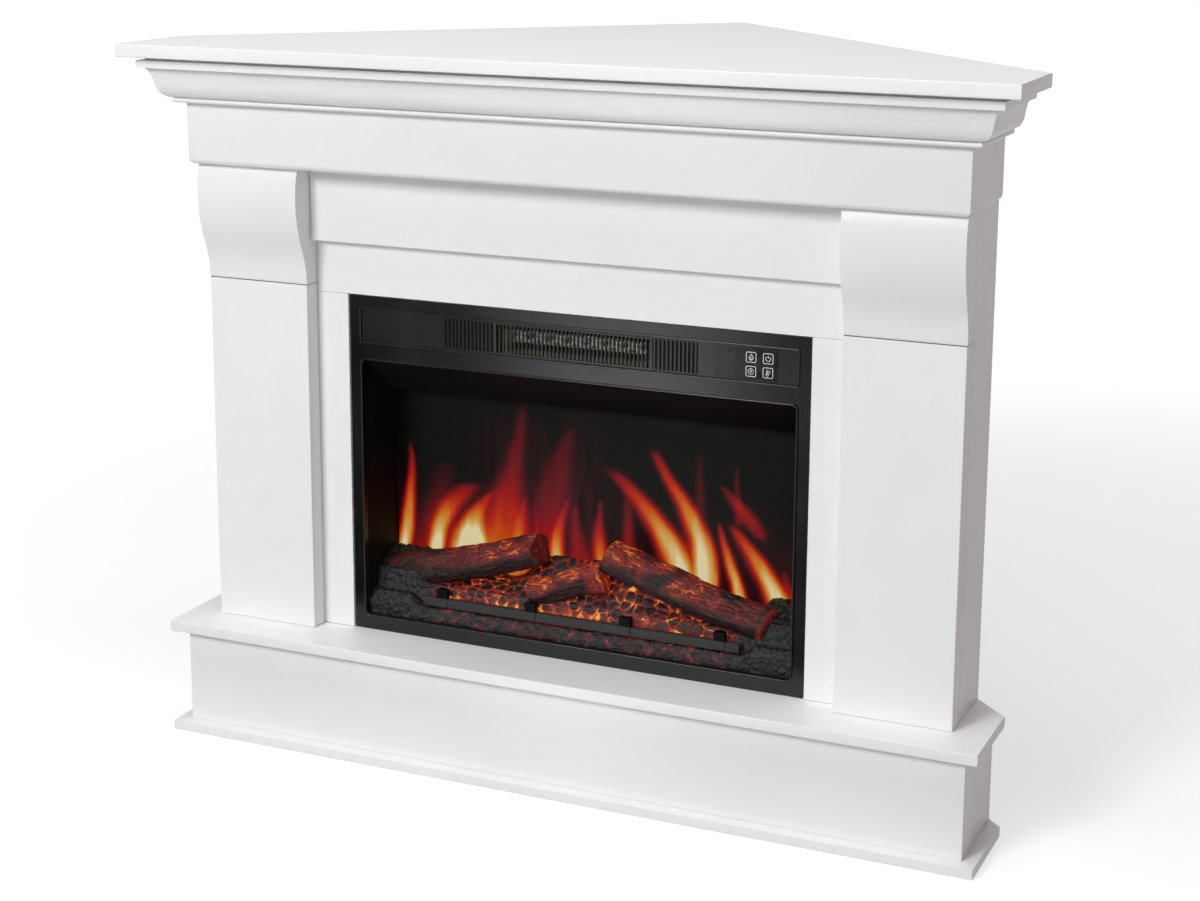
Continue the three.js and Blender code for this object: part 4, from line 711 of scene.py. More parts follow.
DRESSING = [
    (each(("crown", "frieze", "plinth"), WRAPS), WHITE, 0.0004),
    (each(("corbel", "pilaster_face", "surround_stile"), SIDES), WHITE, 0.0011),
    (each(("pilaster_side",), SIDES) + ["header_lower", "header_upper", "frieze_soffit"], WHITE, 0.0011),
    (["top_shelf", "hearth_slab"], WHITE, 0.0),
    (["rail_upper_left", "rail_lower_left"], TIMBER_LEFT, 0.0008),
    (["rail_upper_right", "rail_lower_right"], TIMBER_RIGHT, 0.0008),
    (["rear_post"], TIMBER_POST, 0.0008),
    (["trim_frame"], ENAMEL, 0.0009),
    (["control_strip"], PLASTIC, 0.0005),
    (["air_grille"], PLASTIC, 0.0003),
    (["touch_panel"], GLOSS, 0.0005),
    (each(("recess_cheek",), SIDES) + ["recess_ceiling", "flame_cutter", "blower_motor"], INNER_BLACK_AND_SLOT_SHADE, 0.0),
    (["casing_shell", "casing_back", "rotor_bracket", "heater_duct", "blower_housing"], ZINC, 0.0),
    (["blower_wheel", "flicker_rotor"], TIN, 0.0),
    (["cord_gland", "rotor_motor"], PLASTIC, 0.0),
    (["control_board", "lamp_strip"], CIRCUIT, 0.0),
    (["coil_frame"], MICA, 0.0),
    (["flame_screen"], FLAME_SCREEN, 0.0),
    (["grate_bar"], GRATE_STEEL_PAINTED_LIGHT, 0.0006),
]


def dress(name, material, bevel):
    """Gives a node of the model its finish."""
    piece = nodes[name]
    piece.data.materials.clear()
    piece.data.materials.append(material)
    soften(piece, bevel)


for names, material, bevel in DRESSING:
    for name in names:
        dress(name, material, bevel)
print("dressed:", sum(len(names) for names, _, _ in DRESSING), "of", len(nodes), "nodes")

# %% [markdown]
# Small new pieces could be modelled by hand, but code keeps them tied to the model's sizes. One
# helper turns points and faces into a mesh that rides on a body of the model. It can carry a number
# for each point, which a finish reads as an attribute.

# %% Make a piece from points and faces
def make_piece(name, points, faces, material, body="root", numbers=None):
    """A mesh that rides on a body."""
    mesh = bpy.data.meshes.new(name)
    mesh.from_pydata([tuple(point) for point in points], [], faces)
    mesh.materials.append(material)
    for label, values in (numbers or {}).items():
        layer = mesh.attributes.new(label, "FLOAT", "POINT")
        layer.data.foreach_set("value", [float(value) for value in values])
    mesh.shade_smooth()
    mesh.update()
    piece = bpy.data.objects.new(name, mesh)
    bpy.context.scene.collection.objects.link(piece)
    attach(piece, body)
    print(f"{name}: {len(mesh.vertices)} points, {len(mesh.polygons)} faces")
    return piece


def grid_faces(columns, rows, wrap=False):
    """Faces of a grid of points stored row by row; wrap joins each row's last point to its first."""
    across = columns if wrap else columns - 1
    return [(r * columns + c, r * columns + (c + 1) % columns, (r + 1) * columns + (c + 1) % columns,
             (r + 1) * columns + c) for r in range(rows - 1) for c in range(across)]


BOX_FACES = [(3, 2, 1, 0), (4, 5, 6, 7)] + [(i, (i + 1) % 4, (i + 1) % 4 + 4, i + 4) for i in range(4)]
print("faces of a box:", len(BOX_FACES))

# %% [markdown]
# The foot is a plain board with crisp painted edges, mitred at the front corners and cut along the
# walls at the back. The model's own foot has a wider round. Each run is its four-cornered plan in
# millimetres, raised to the model's height, with the edges taken off by a hair.

# %% Cut the foot boards
FOOT_PLANS = {
    "front": [(-520.9, -306), (520.9, -306), (487.9, -273), (-487.9, -273)],
    "left": [(-521, -305.8), (-488, -272.9), (-488, -150), (-521, -183)],
    "right": [(521, -305.8), (521, -183), (488, -150), (488, -272.9)],
}


def foot_board(run, plan):
    """One run of the foot, as high as the model's own."""
    low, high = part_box(f"foot_moulding_{run}")
    points = [Vector((x * MM, y * MM, level)) for level in (low[2], high[2]) for x, y in plan]
    piece = make_piece(f"foot_board_{run}", points, BOX_FACES, WHITE)
    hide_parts(f"foot_moulding_{run}")
    soften(piece, 0.0008)


for run, plan in FOOT_PLANS.items():
    foot_board(run, plan)

# %% [markdown]
# Where two painted boards meet, the narrow groove between their eased edges lies in shade and shows
# as a fine dark line. A thin dark filler in that groove is painted shade: a dark strip put where there
# is only shade, which unlike a line painted on the boards looks right from all sides. EDGE_GAP keeps
# it behind the edges, and HALF_LINE is half its thickness.

# %% Fill the joints with painted shade
# Dark grey painted shade for the grooves between boards, with a faint grain in its tone.
def joint_shade_filler():
    finish = Finish("joint_shade_filler")
    shade_grain = finish.noise(800, 3, 0.6)
    shade_tone = finish.mix(shade_grain, grey(0.05, 0.05), grey(0.16, 0.05))
    return finish.surface({"Base Color": shade_tone, "Roughness": 0.8})


JOINT_SHADE = joint_shade_filler()
COLUMN_INNER, COLUMN_OUTER, COLUMN_FACE, COLUMN_BACK = 340, 479, -254, -230
CORBEL_FOOT, FRIEZE_FOOT, HEARTH_FACE = 584, 728, 146
EDGE_GAP, HALF_LINE = 0.45, 0.6


def block(name, low, high, material, bevel=0.0):
    """A plain block between two corners, in millimetres of the model."""
    points = [Vector((x, y, z)) * MM for z in (low[2], high[2])
              for x, y in ((low[0], low[1]), (high[0], low[1]), (high[0], high[1]), (low[0], high[1]))]
    soften(make_piece(name, points, BOX_FACES, material), bevel)


# Strips of painted shade in the joints under the corbels and down the columns' sides.
for side, sign in zip(SIDES, (-1, 1)):
    inner, outer = sorted((sign * (COLUMN_INNER + EDGE_GAP), sign * (COLUMN_OUTER - EDGE_GAP)))
    block(f"corbel_joint_{side}", (inner, COLUMN_FACE + EDGE_GAP, CORBEL_FOOT - HALF_LINE),
          (outer, COLUMN_BACK, CORBEL_FOOT + HALF_LINE), JOINT_SHADE)
    inner, outer = sorted((sign * (COLUMN_OUTER - 6), sign * (COLUMN_OUTER - EDGE_GAP)))
    block(f"column_joint_shade_{side}", (inner, COLUMN_BACK - 0.5, HEARTH_FACE),
          (outer, COLUMN_BACK + HALF_LINE, FRIEZE_FOOT), JOINT_SHADE)

# %% [markdown]
# Real logs in such a heater are thin resin castings lit from inside, so the glow follows the bark's
# furrows. The number that pushes a point of the log in also says how much light leaks out there, so
# that shape and glow always agree. Fine grain that is too small for the mesh comes from noise that
# runs along the log.

# %% Charred log finish
BARK_DARK, BARK_PALE = (0.003, 0.0024, 0.0024, 1), (0.021, 0.0175, 0.017, 1)
FURROW_BLACK = (0.003, 0.0025, 0.0025, 1)
LOG_EMBERS = [
    (0.0, (0.0005, 0.0001, 0.0001, 1)), (0.22, (0.070, 0.004, 0.0035, 1)), (0.45, (0.20, 0.011, 0.005, 1)),
    (0.70, (0.42, 0.045, 0.006, 1)), (1.0, (0.66, 0.20, 0.015, 1))]


def charred_bark():
    finish = Finish("charred_bark")
    glow = finish.attribute("ember_glow")
    furrow = finish.attribute("furrow_depth")
    grain_place = finish.node("CombineXYZ", None, {
        0: finish.attribute("run_along") * 0.055, 1: finish.attribute("run_around") * 0.42, 2: 0.0})
    grain = finish.noise(1.0, 4, 0.6, grain_place, 0.4)
    fine = finish.noise(620, 4, 0.65)
    ridges = grain * 0.65 + fine * 0.35
    bark = finish.mix(finish.smooth(ridges, 0.35, 0.68), BARK_DARK, BARK_PALE)
    bark = finish.mix(furrow * 0.8, bark, FURROW_BLACK)
    leak = glow * finish.smooth(ridges, 0.62, 0.38, 0.25, 1.45)
    return finish.surface({
        "Base Color": bark,
        "Roughness": finish.smooth(fine, 0.3, 0.7, 0.40, 0.66),
        "Specular IOR Level": 0.22,
        "Emission Color": finish.node("ValToRGB", {"stops": LOG_EMBERS}, {0: leak}),
        "Emission Strength": 1.0,
        "Normal": finish.bump(ridges - furrow * 0.4, 0.8, 0.0014),
    })


BARK = charred_bark()

# %% [markdown]
# Two small sums shape both logs and coals. A smooth step blends from 0 to 1 between two values.
# Ridged noise folds a soft noise at its middle, which turns its zero lines into sharp creases, as
# in burnt bark.

# %% Sums for creases and blends
def smoothstep(value, start, stop):
    t = np.clip((value - start) / (stop - start), 0, 1)
    return t * t * (3 - 2 * t)


def ridged(x, y, z, octaves):
    """Noise folded into sharp lines, from 0 in the open to 1 on a line."""
    total, size, weight = 0.0, 1.0, 1.0
    for _ in range(octaves):
        total += weight * (1 - abs(noise.noise(Vector((x * size, y * size, z * size)))) * 2.2)
        size *= 2.1
        weight *= 0.5
    return max(0.0, min(1.0, total / 1.9))


print("half way:", float(smoothstep(0.5, 0, 1)), "crease:", round(ridged(0.3, 0.2, 0.1, 4), 3))

# %% [markdown]
# The logs' ends, sizes and lumps repeat the model's own rule, so each casting lies where its solid
# does. Ends are places in the heater's millimetres, and thick is the radius at both ends as a share
# of LOG_RADIUS. Split is how far the broken end reaches, fire is how hot the log is, and end_glow
# is the light of its two ends. A knot is its place along, its angle in half turns and its size.

# %% Describe the logs
LOG_RADIUS, LOG_SIDES, LOG_CAP, RING_GAP = 23, 120, 12, 1.3
FIRE_MIDDLE, FIRE_REACH = 5, 225
LOGS = {
    "log_left": dict(start=(-266, 58, 54), end=(-64.1, 55, 117), thick=(1.02, 0.92), seed=1.3, split=5,
                     fire=1.15, end_glow=(0.0, 0.5), knots=[(0.52, 0.32, 6.5), (0.10, 0.9, 6)]),
    "log_centre": dict(start=(-72, 40, 66), end=(26, 46, 95.2), thick=(0.72, 0.86), seed=4.1, split=30,
                       fire=1.2, end_glow=(0.5, 1.15), knots=[]),
    "log_right": dict(start=(28, 56, 116), end=(238, 47, 62), thick=(0.96, 1.0), seed=7.7, split=10,
                      fire=1.1, end_glow=(0.4, 0.9), knots=[(0.13, 0.3, 4.5), (0.20, 0.42, 3.5)]),
}
print("logs:", {name: round(math.dist(log["start"], log["end"])) for name, log in LOGS.items()}, "mm long")

# %% [markdown]
# The bark could be sculpted, but rules are quicker to change. Three of them say what a log looks
# like at any point of its skin: how far out the skin lies before it is furrowed, what a knot does
# to it, and how much light leaks out. Light comes from the creases, most of all near the fire's
# middle and on the log's upper side, and from the broken ends.

# %% Carve and light the bark
def bare_reach(radius, angle, t, seed):
    """Distance from the log's middle to its skin: a circle with a few broad lumps."""
    return radius * (1 + 0.06 * math.sin(3 * angle + seed + 2 * t)
                     + 0.04 * math.sin(5 * angle - seed * 2 + 4 * t))


def with_knots(skin, furrow, knots, t, angle, radius, length):
    """Adds the knots, each a raised rim round a small crater."""
    for knot_t, knot_angle, size in knots:
        gap = math.hypot((t - knot_t) * length, (angle - knot_angle * math.pi) * radius)
        if gap < size * 1.7:
            rim = math.exp(-((gap - size) / (0.3 * size)) ** 2)
            skin += 2.0 * rim - 2.6 * math.exp(-(gap / (0.6 * size)) ** 2)
            furrow = furrow * (1 - rim) * 0.8
    return skin, furrow


def bark_glow(point, height, furrow, seed, fire, cap_glow, split_glow):
    """Light that leaks out at a point; cap_glow is None away from the log's ends."""
    patch = smoothstep(noise.noise(Vector((point.x / 34, point.z / 16, seed + 9))), -0.45, 0.12)
    near = math.exp(-((point.x - FIRE_MIDDLE) / FIRE_REACH) ** 2) * fire
    region = near * (0.07 + 1.0 * smoothstep(height, -7, 9) * patch) if cap_glow is None else cap_glow
    region = max(region, split_glow)
    return float(region * (0.38 + 0.8 * smoothstep(furrow, 0.56, 0.95)))


print("reach of a plain log's top:", round(bare_reach(LOG_RADIUS, 0, 0, 0), 1), "mm")

# %% [markdown]
# The casting is a stack of rings. Rings before the start and beyond the end shrink to a point,
# which closes the ends. Four numbers go with each point, for the finish: its furrow, its glow and
# its place along and around.

# %% Build the logs
def log_casting(name, start, end, thick, seed, split, fire, end_glow, knots):
    start, end = Vector(start), Vector(end)
    along = (end - start).normalized()
    length = (end - start).length
    up = (Vector((0, 0, 1)) - along * along.z).normalized()
    across = along.cross(up)
    rings = int(length / RING_GAP)
    points, furrows, glows, runs, turns = [], [], [], [], []
    for ring in range(-LOG_CAP, rings + LOG_CAP + 1):
        inset = max(0, -ring, ring - rings) / LOG_CAP
        shrink = 1 - inset
        t = min(max(ring / rings, 0), 1)
        run = t * length
        middle = start.lerp(end, t) + up * 0.11 * LOG_RADIUS * math.sin(t * 5 + seed)
        radius = LOG_RADIUS * (thick[0] + (thick[1] - thick[0]) * t)
        at_end = smoothstep(run, length - split, length - split * 0.5)
        cap_glow = end_glow[1 if t else 0] * 0.8 if inset > 0.08 else None
        for side in range(LOG_SIDES):
            angle = side / LOG_SIDES * 2 * math.pi
            reach = bare_reach(radius, angle, t, seed)
            high, wide = math.cos(angle), math.sin(angle)
            warp = noise.noise(Vector((run / 16, high * 1.3, wide * 1.3 + seed))) * 0.5
            furrow = ridged(run / 24 + warp + seed, high * 3.4 + warp, wide * 3.4 + seed * 3, 5)
            upright = ridged(wide * reach * (1 - inset) / 8 + run / 7 + seed, run / 40,
                             high * reach / 55, 3)
            furrow += (upright - furrow) * max(at_end, min(1, inset * 6))
            skin = reach - (2.4 + 1.6 * at_end) * furrow * shrink
            if not inset:
                skin, furrow = with_knots(skin, furrow, knots, t, angle, radius, length)
            swell = 1.6 * (1 - shrink ** 2) - 3.0 * furrow * min(1, inset * 5)
            outwards = along * (1 if t else -1) * swell
            slant = along * (0.12 * reach * shrink * math.cos(angle + seed))
            point = middle + (up * high + across * wide) * skin * shrink + slant + outwards
            points.append(in_heater(*point))
            furrows.append(min(1, furrow))
            glows.append(bark_glow(point, high * reach, furrow, seed, fire, cap_glow,
                                   at_end * end_glow[1] * 0.85))
            runs.append(run + inset * reach)
            turns.append(radius * 4 * warp + radius * abs(angle - math.pi))
    faces = grid_faces(LOG_SIDES, rings + 2 * LOG_CAP + 1, wrap=True)
    piece = make_piece(f"{name}_casting", points, faces, BARK,
                       numbers={"furrow_depth": furrows, "ember_glow": glows, "run_along": runs,
                                "run_around": turns})
    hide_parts(name)


for name, shape in LOGS.items():
    log_casting(name, **shape)

# %% [markdown]
# The bed is one casting too: lumps of coal with light leaking through the cracks between them. The
# finish reads two numbers from the mesh, the distance to the nearest crack and the warmth there. A
# thin bright edge and a soft red one round it are added up, and a ramp colours them.

# %% Glowing coal finish
COAL_EMBERS = [
    (0.0, (0.0005, 0.0001, 0.0001, 1)), (0.18, (0.05, 0.003, 0.0025, 1)), (0.42, (0.24, 0.013, 0.004, 1)),
    (0.72, (0.58, 0.10, 0.006, 1)), (1.0, (0.78, 0.36, 0.035, 1))]


def glowing_coal():
    finish = Finish("glowing_coal")
    crack = finish.attribute("crack_distance")
    heat = finish.attribute("warmth")
    fine = finish.noise(520, 5, 0.65)
    broad = finish.noise(75, 3, 0.6)
    coal = finish.mix(fine, (0.002, 0.002, 0.002, 1), (0.015, 0.0145, 0.0145, 1))
    edge = finish.smooth(crack + (fine - 0.5) * 2.4, 1.2, 0.1)
    soft = finish.smooth(crack + (fine - 0.5) * 6.0, 5.5, 0.0) ** 1.3 * 0.34
    leak = heat * (edge * finish.smooth(broad, 0.42, 0.62, 0.02, 0.66) + soft)
    return finish.surface({
        "Base Color": coal,
        "Roughness": finish.smooth(fine, 0.3, 0.7, 0.26, 0.60),
        "Specular IOR Level": 0.34,
        "Emission Color": finish.node("ValToRGB", {"stops": COAL_EMBERS}, {0: leak}),
        "Emission Strength": 1.0,
        "Normal": finish.bump(fine, 0.9, 0.0014),
    })


COAL = glowing_coal()

# %% [markdown]
# The bed's profile follows the model's own rule: a low front, a terrace for the grate bar, a step
# behind it, a slope up to the back, and heaps at both sides. Points are spread evenly along that
# profile, so that the steep parts are as fine as the flat ones.

# %% Shape the bed
BED_HALF, BED_FRONT, BED_BACK, BED_FOOT = 279.8, 9.3, 86.4, 4
BAR_SETBACK, BAR_DEPTH, BAR_BOTTOM, BAR_HEIGHT, BAR_HALF = 21, 8, 34.5, 11, 209
BAR_BACK = BAR_SETBACK + BAR_DEPTH
VIEW_BOTTOM = 19


def coal_level(x, y):
    """The model's height of the coals at a place on the bed, in millimetres."""
    low = VIEW_BOTTOM + 3
    front = low + (BAR_BOTTOM - 1.5 - low) * smoothstep(y, BED_FRONT - 0.3, BAR_SETBACK)
    rise = smoothstep(y, BAR_BACK, BAR_BACK + BAR_DEPTH)
    slope = smoothstep(y, BAR_BACK, BED_BACK)
    heap = smoothstep(abs(x), BAR_HALF, BAR_HALF + LOG_RADIUS)
    mound = 1 - smoothstep(abs(x), 2.5 * LOG_RADIUS, 5 * LOG_RADIUS)
    return front + rise * (BAR_HEIGHT + 12) + slope * (10 + mound * 34) + heap * (1 + slope / 2) * 14


def bed_profile(x, rows):
    """Points and outward directions up the bed's front and over its top, spaced evenly along the way."""
    y = np.linspace(BED_FRONT, BED_BACK, 240)
    z = coal_level(x, y)
    y, z = np.concatenate([[BED_FRONT] * 6, y]), np.concatenate([np.linspace(8, z[0] - 1, 6), z])
    run = np.concatenate([[0], np.cumsum(np.hypot(np.diff(y), np.diff(z)))])
    spots = np.linspace(0, run[-1], rows)
    y, z = np.interp(spots, run, y), np.interp(spots, run, z)
    dy, dz = np.gradient(y), np.gradient(z)
    size = np.hypot(dy, dz)
    return y, z, -dz / size, dy / size, spots


print("level, front to back:", [round(float(coal_level(0, y))) for y in (12, 25, 40, 60, 80)], "mm")

# %% [markdown]
# Coals are cells. Seeds are scattered over the bed as if it were unrolled, close together in front
# and at the sides and wider apart in the glowing middle. A search tree then finds the two nearest
# seeds of any point, and the crack between two coals lies where both are equally near.

# %% Scatter the seeds of the coals
FRONT_RUN, SMALL_COAL, LARGE_COAL, SMALL_ROW, LARGE_ROW = 42, 9, 14, 7.6, 11.5


def coal_seeds():
    random = np.random.default_rng(12)
    seeds = kdtree.KDTree(2000)
    count = 0
    v = 4.0
    while v < 130:
        u = -BED_HALF
        while u < BED_HALF:
            pitch = SMALL_COAL if v < FRONT_RUN or abs(u) > BAR_HALF else LARGE_COAL
            spot = (u + random.uniform(-0.45, 0.45) * pitch, v + random.uniform(-0.45, 0.45) * pitch, 0)
            seeds.insert(spot, count)
            count += 1
            u += pitch * random.uniform(0.55, 1.5) * (1 + 0.7 * noise.noise(Vector((u / 40, v / 25, 3.0))))
        v += SMALL_ROW if v < FRONT_RUN else LARGE_ROW
    seeds.balance()
    print("coals:", count)
    return seeds


SEEDS = coal_seeds()

# %% [markdown]
# Three rules turn a cell into a coal: how far the point is from the crack, how far that pushes it
# out, and how warm it is. A fourth keeps the coals clear of the grate bar, in front of it and
# below.

# %% Push out and warm the coals
def nearest_crack(x, run):
    """Distance to the crack between two coals, and the seed of the nearer one."""
    bend = noise.noise(Vector((x / 7, run / 7, 2.0))) * 2.6
    near = SEEDS.find_n((x + bend, run - bend, 0), 2)
    return (near[1][2] - near[0][2]) / 2 * 1.5, near[0][0]


def coal_push(x, y, run, crack, seed):
    lump = 1 - math.exp(-crack / 1.9)
    size = 0.6 + 0.5 * noise.noise(Vector((seed.x, seed.y, 5.0)))
    rough = noise.noise(Vector((x / 3.2, run / 3.2, 7.0))) * 0.9
    return (4.8 if y > BAR_BACK else 4.2) * lump * size + rough - 1.7


def clear_of_bar(x, old_y, y, z):
    """Keeps a point below the bar where it was in front of the bar's back, and otherwise behind it."""
    under_bar = abs(x) < BAR_HALF + 1 and BAR_SETBACK - 2.2 < y < BAR_BACK + 0.4
    if under_bar and z > BAR_BOTTOM - 0.4:
        if old_y < BAR_BACK:
            z = BAR_BOTTOM - 0.4
        else:
            y = BAR_BACK + 0.4
    return y, z


def coal_warmth(x, run, y, z):
    """Warmth of a point, and how near it is to the bright foot of the slope behind the bar."""
    across = 1 - smoothstep(abs(x + 2), 175, 222)
    behind = smoothstep(y, BAR_BACK - 1, BAR_BACK + 1)
    foot = math.exp(-((z - BAR_BOTTOM - BAR_HEIGHT) / 4.5) ** 2) * behind
    patch = 0.85 + 0.75 * noise.noise(Vector((x / 32, run / 20, 1.0)))
    slits = smoothstep(noise.noise(Vector((x / 13, run / 9, 11.0))), -0.15, 0.35)
    return across * patch * (0.66 * slits * (1 - behind) + 1.08 * behind + 0.5 * foot), foot


print("crack at the bed's middle:", round(nearest_crack(0, 60)[0], 2), "mm away")

# %% [markdown]
# The bed itself is a grid of points, column by column across the heater, each moved by the rules
# above.

# %% Build the coal bed
BED_COLUMNS, BED_ROWS = 430, 96


def coal_bed():
    points, cracks, heats = [], [], []
    for column in range(BED_COLUMNS):
        x = -BED_HALF + 2 * BED_HALF * column / (BED_COLUMNS - 1)
        for y, z, out_y, out_z, run in zip(*bed_profile(x, BED_ROWS)):
            crack, seed = nearest_crack(x, run)
            push = coal_push(x, y, run, crack, seed)
            new_y, new_z = clear_of_bar(x, y, y + out_y * push, z + out_z * push)
            heat, foot = coal_warmth(x, run, new_y, new_z)
            points.append(in_heater(x, new_y, max(new_z, BED_FOOT)))
            cracks.append(crack * (1 - 0.7 * foot))
            heats.append(heat)
    faces = grid_faces(BED_ROWS, BED_COLUMNS)
    piece = make_piece("coal_bed", points, faces, COAL,
                       numbers={"crack_distance": cracks, "warmth": heats})
    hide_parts("ember_bed")


coal_bed()

# %% [markdown]
# Four black clips stand on the bar and hold back the coals. Each is a plain block with eased edges,
# measured from the heater's own corner.

# %% Set the clips on the bar
CLIP_PLACES, CLIP_HALF, CLIP_TOP = (-183.9, -62.7, 62.7, 183.9), 7.3, 57.5


def heater_block(name, low, high, material, bevel=0.0):
    """A plain block between two corners, in the heater's millimetres."""
    block(name, in_heater(*low) / MM, in_heater(*high) / MM, material, bevel)


for i, x in enumerate(CLIP_PLACES):
    heater_block(f"grate_clip_{i + 1}", (x - CLIP_HALF, BAR_SETBACK - 1.7, BAR_BOTTOM + BAR_HEIGHT + 0.3),
                 (x + CLIP_HALF, BAR_BACK - 0.2, CLIP_TOP), CLIP_BLACK, 0.0011)

# %% [markdown]
# Beside the grille the louvre is blind: ribs stand on a closed face. The deep slots between the ribs
# lie in black shade, so a dull black sheet of painted shade lies there, a little proud of the face
# and well below the ribs' tops.

# %% Paint shade into the blind slots
SLOT_SHADE_FACE, SLOT_SHADE_BACK, SLOT_SHADE_LOW, SLOT_SHADE_HIGH = 1.92, 2.2, 371.2, 406.8
# Dull black sheets of painted shade between the blind ribs.
for side, left, right in (("left", -168.5, -101.6), ("right", 104.6, 159.6)):
    heater_block(f"slot_shade_sheet_{side}", (left, SLOT_SHADE_FACE, SLOT_SHADE_LOW), (right, SLOT_SHADE_BACK, SLOT_SHADE_HIGH),
                 INNER_BLACK_AND_SLOT_SHADE)
heater_block("blind_rib", (-106.1, 0.7, 370.6), (-104.1, 2.1, 407.4), PLASTIC, 0.0002)

# %% [markdown]
# A rolled bead runs round the strip's window and round the viewing opening. A bevel on the trim
# would round its other edges too, so the bead is a piece of its own: a ring of points swept along a
# rounded rectangle. It is thin, but its round shape always finds something bright to show in its
# gloss, and so it draws the trim's edges.

# %% Roll the trim's beads
QUARTERS = ((1, 1), (-1, 1), (-1, -1), (1, -1))
BEAD_RADIUS, BEAD_SIDES, CORNER_STEPS = 1.0, 10, 6


def bead_path(half, low, high, corner):
    """Places round the opening, each with the direction that points away from its middle."""
    middle = (low + high) / 2
    path = []
    for turn, (sx, sz) in enumerate(QUARTERS):
        for step in range(CORNER_STEPS + 1):
            angle = math.radians(90 * turn + 90 / CORNER_STEPS * step)
            path.append((sx * (half - corner) + corner * math.cos(angle),
                         middle + sz * ((high - low) / 2 - corner) + corner * math.sin(angle), angle))
    return path


def bead(name, half, low, high, corner, front):
    path = bead_path(half, low, high, corner)
    points = []
    for x, z, angle in path:
        for i in range(BEAD_SIDES):
            lean = 2 * math.pi * i / BEAD_SIDES
            out = BEAD_RADIUS * math.cos(lean)
            points.append(in_heater(x + out * math.cos(angle), front + BEAD_RADIUS * math.sin(lean),
                                    z + out * math.sin(angle)))
    faces = grid_faces(BEAD_SIDES, len(path), wrap=True)
    last = len(points) - BEAD_SIDES
    faces += [(last + i, last + (i + 1) % BEAD_SIDES, (i + 1) % BEAD_SIDES, i) for i in range(BEAD_SIDES)]
    make_piece(name, points, faces, ENAMEL)


bead("strip_bead", half=281.5, low=367.5, high=410.5, corner=2.2, front=0.25)
bead("view_bead", half=280.7, low=18.3, high=346.7, corner=6.6, front=-0.55)

# %% [markdown]
# Behind the louvre hangs the heater coil: one wire wound into a long spring. The model's coil has
# few sides, so a finer one takes its place, with the same pitch, radius and straight ends. A curve
# with a round bevel is the shortest way to it, because it needs only the points along the wire.

# %% Wind the heater coil
COIL_LEFT, COIL_RIGHT, COIL_RADIUS, COIL_WIRE, COIL_PITCH, CURL_STEPS = -86, 88, 6.4, 1.5, 4.2, 20
coil_low, coil_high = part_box("heater_coil")
COIL_MIDDLE = (coil_low + coil_high) / 2


def coil_route():
    """Points along the wire: a straight lead, the curls, and a lead at the other end."""
    curls = round((COIL_RIGHT - COIL_LEFT) / COIL_PITCH)
    total = curls * CURL_STEPS
    route = []
    for i in range(total + 1):
        angle = i / CURL_STEPS * 2 * math.pi
        x = (COIL_LEFT + (COIL_RIGHT - COIL_LEFT) * i / total) * MM
        route.append(Vector((x, COIL_MIDDLE.y + COIL_RADIUS * MM * math.cos(angle),
                             COIL_MIDDLE.z + COIL_RADIUS * MM * math.sin(angle))))
    lead = Vector((1.9 * COIL_WIRE * MM, 0, 0))
    print("heater coil:", curls, "curls")
    return [route[0] - lead] + route + [route[-1] + lead]


def heater_coil():
    route = coil_route()
    curve = bpy.data.curves.new("heater_coil_wire", "CURVE")
    curve.dimensions = "3D"
    curve.bevel_depth = COIL_WIRE / 2 * MM
    curve.bevel_resolution = 3
    curve.use_fill_caps = True
    spline = curve.splines.new("POLY")
    spline.points.add(len(route) - 1)
    for spot, place in zip(spline.points, route):
        spot.co = (*place, 1)
    curve.materials.append(WIRE)
    piece = bpy.data.objects.new("heater_coil_wire", curve)
    bpy.context.scene.collection.objects.link(piece)
    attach(piece, "root")
    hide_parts("heater_coil")
    print("heater_coil_wire:", len(route), "points")


heater_coil()

# %% [markdown]
# The keys are printed on the gloss panel: four rounded squares with a simple sign in each, for
# flame, power, timer and heat. The ink is a pale grey, a little worn, with a faint light behind it.

# %% Ink for the keys
def key_ink():
    finish = Finish("key_ink")
    wear = finish.noise(1400, 3, 0.6)
    return finish.surface({
        "Base Color": finish.mix(wear, (0.50, 0.50, 0.51, 1), (0.68, 0.68, 0.69, 1)),
        "Roughness": finish.smooth(wear, 0.3, 0.7, 0.4, 0.55),
        "Emission Color": finish.mix(wear, (0.15, 0.15, 0.155, 1), (0.24, 0.24, 0.245, 1)),
        "Emission Strength": 1.0,
    })


INK = key_ink()

# %% [markdown]
# A picture of the keys would blur close up, and flat ribbons stay sharp. A ribbon is two rows of
# points, half a line's width to each side of its path. Arcs and rounded squares are paths too, so
# every sign is a short list of strokes, each with its width and whether it is closed.

# %% Lay a flat stroke
def ribbon(points, width, closed=False):
    """Corners and faces of a flat stroke along (x, z) points on the panel."""
    path = [Vector(point) for point in points]
    made, faces = [], []
    count = len(path)
    for i, spot in enumerate(path):
        before = path[(i - 1) % count] if closed or i else spot
        after = path[(i + 1) % count] if closed or i + 1 < count else spot
        way = (after - before).normalized()
        side = Vector((-way.y, way.x)) * width / 2
        made += [spot - side, spot + side]
    for i in range(count if closed else count - 1):
        a, b = 2 * i, 2 * ((i + 1) % count)
        faces.append((a, b, b + 1, a + 1))
    return made, faces


def arc(x, z, radius, start, stop, steps=18):
    """Places along an arc between two angles in degrees."""
    angles = [math.radians(start + (stop - start) * i / steps) for i in range(steps + 1)]
    return [(x + radius * math.cos(angle), z + radius * math.sin(angle)) for angle in angles]


def rounded_square(x, z, half, corner):
    path, flat = [], half - corner
    for turn, (sx, sz) in enumerate(QUARTERS):
        path += arc(x + sx * flat, z + sz * flat, corner, 90 * turn, 90 * turn + 90, 4)
    return path


print("points round a key:", len(rounded_square(0, 0, 5.8, 1.4)))

# %% [markdown]
# The four signs are the plain ones that many appliances have. Each function gives its strokes about
# a key's middle, in millimetres.

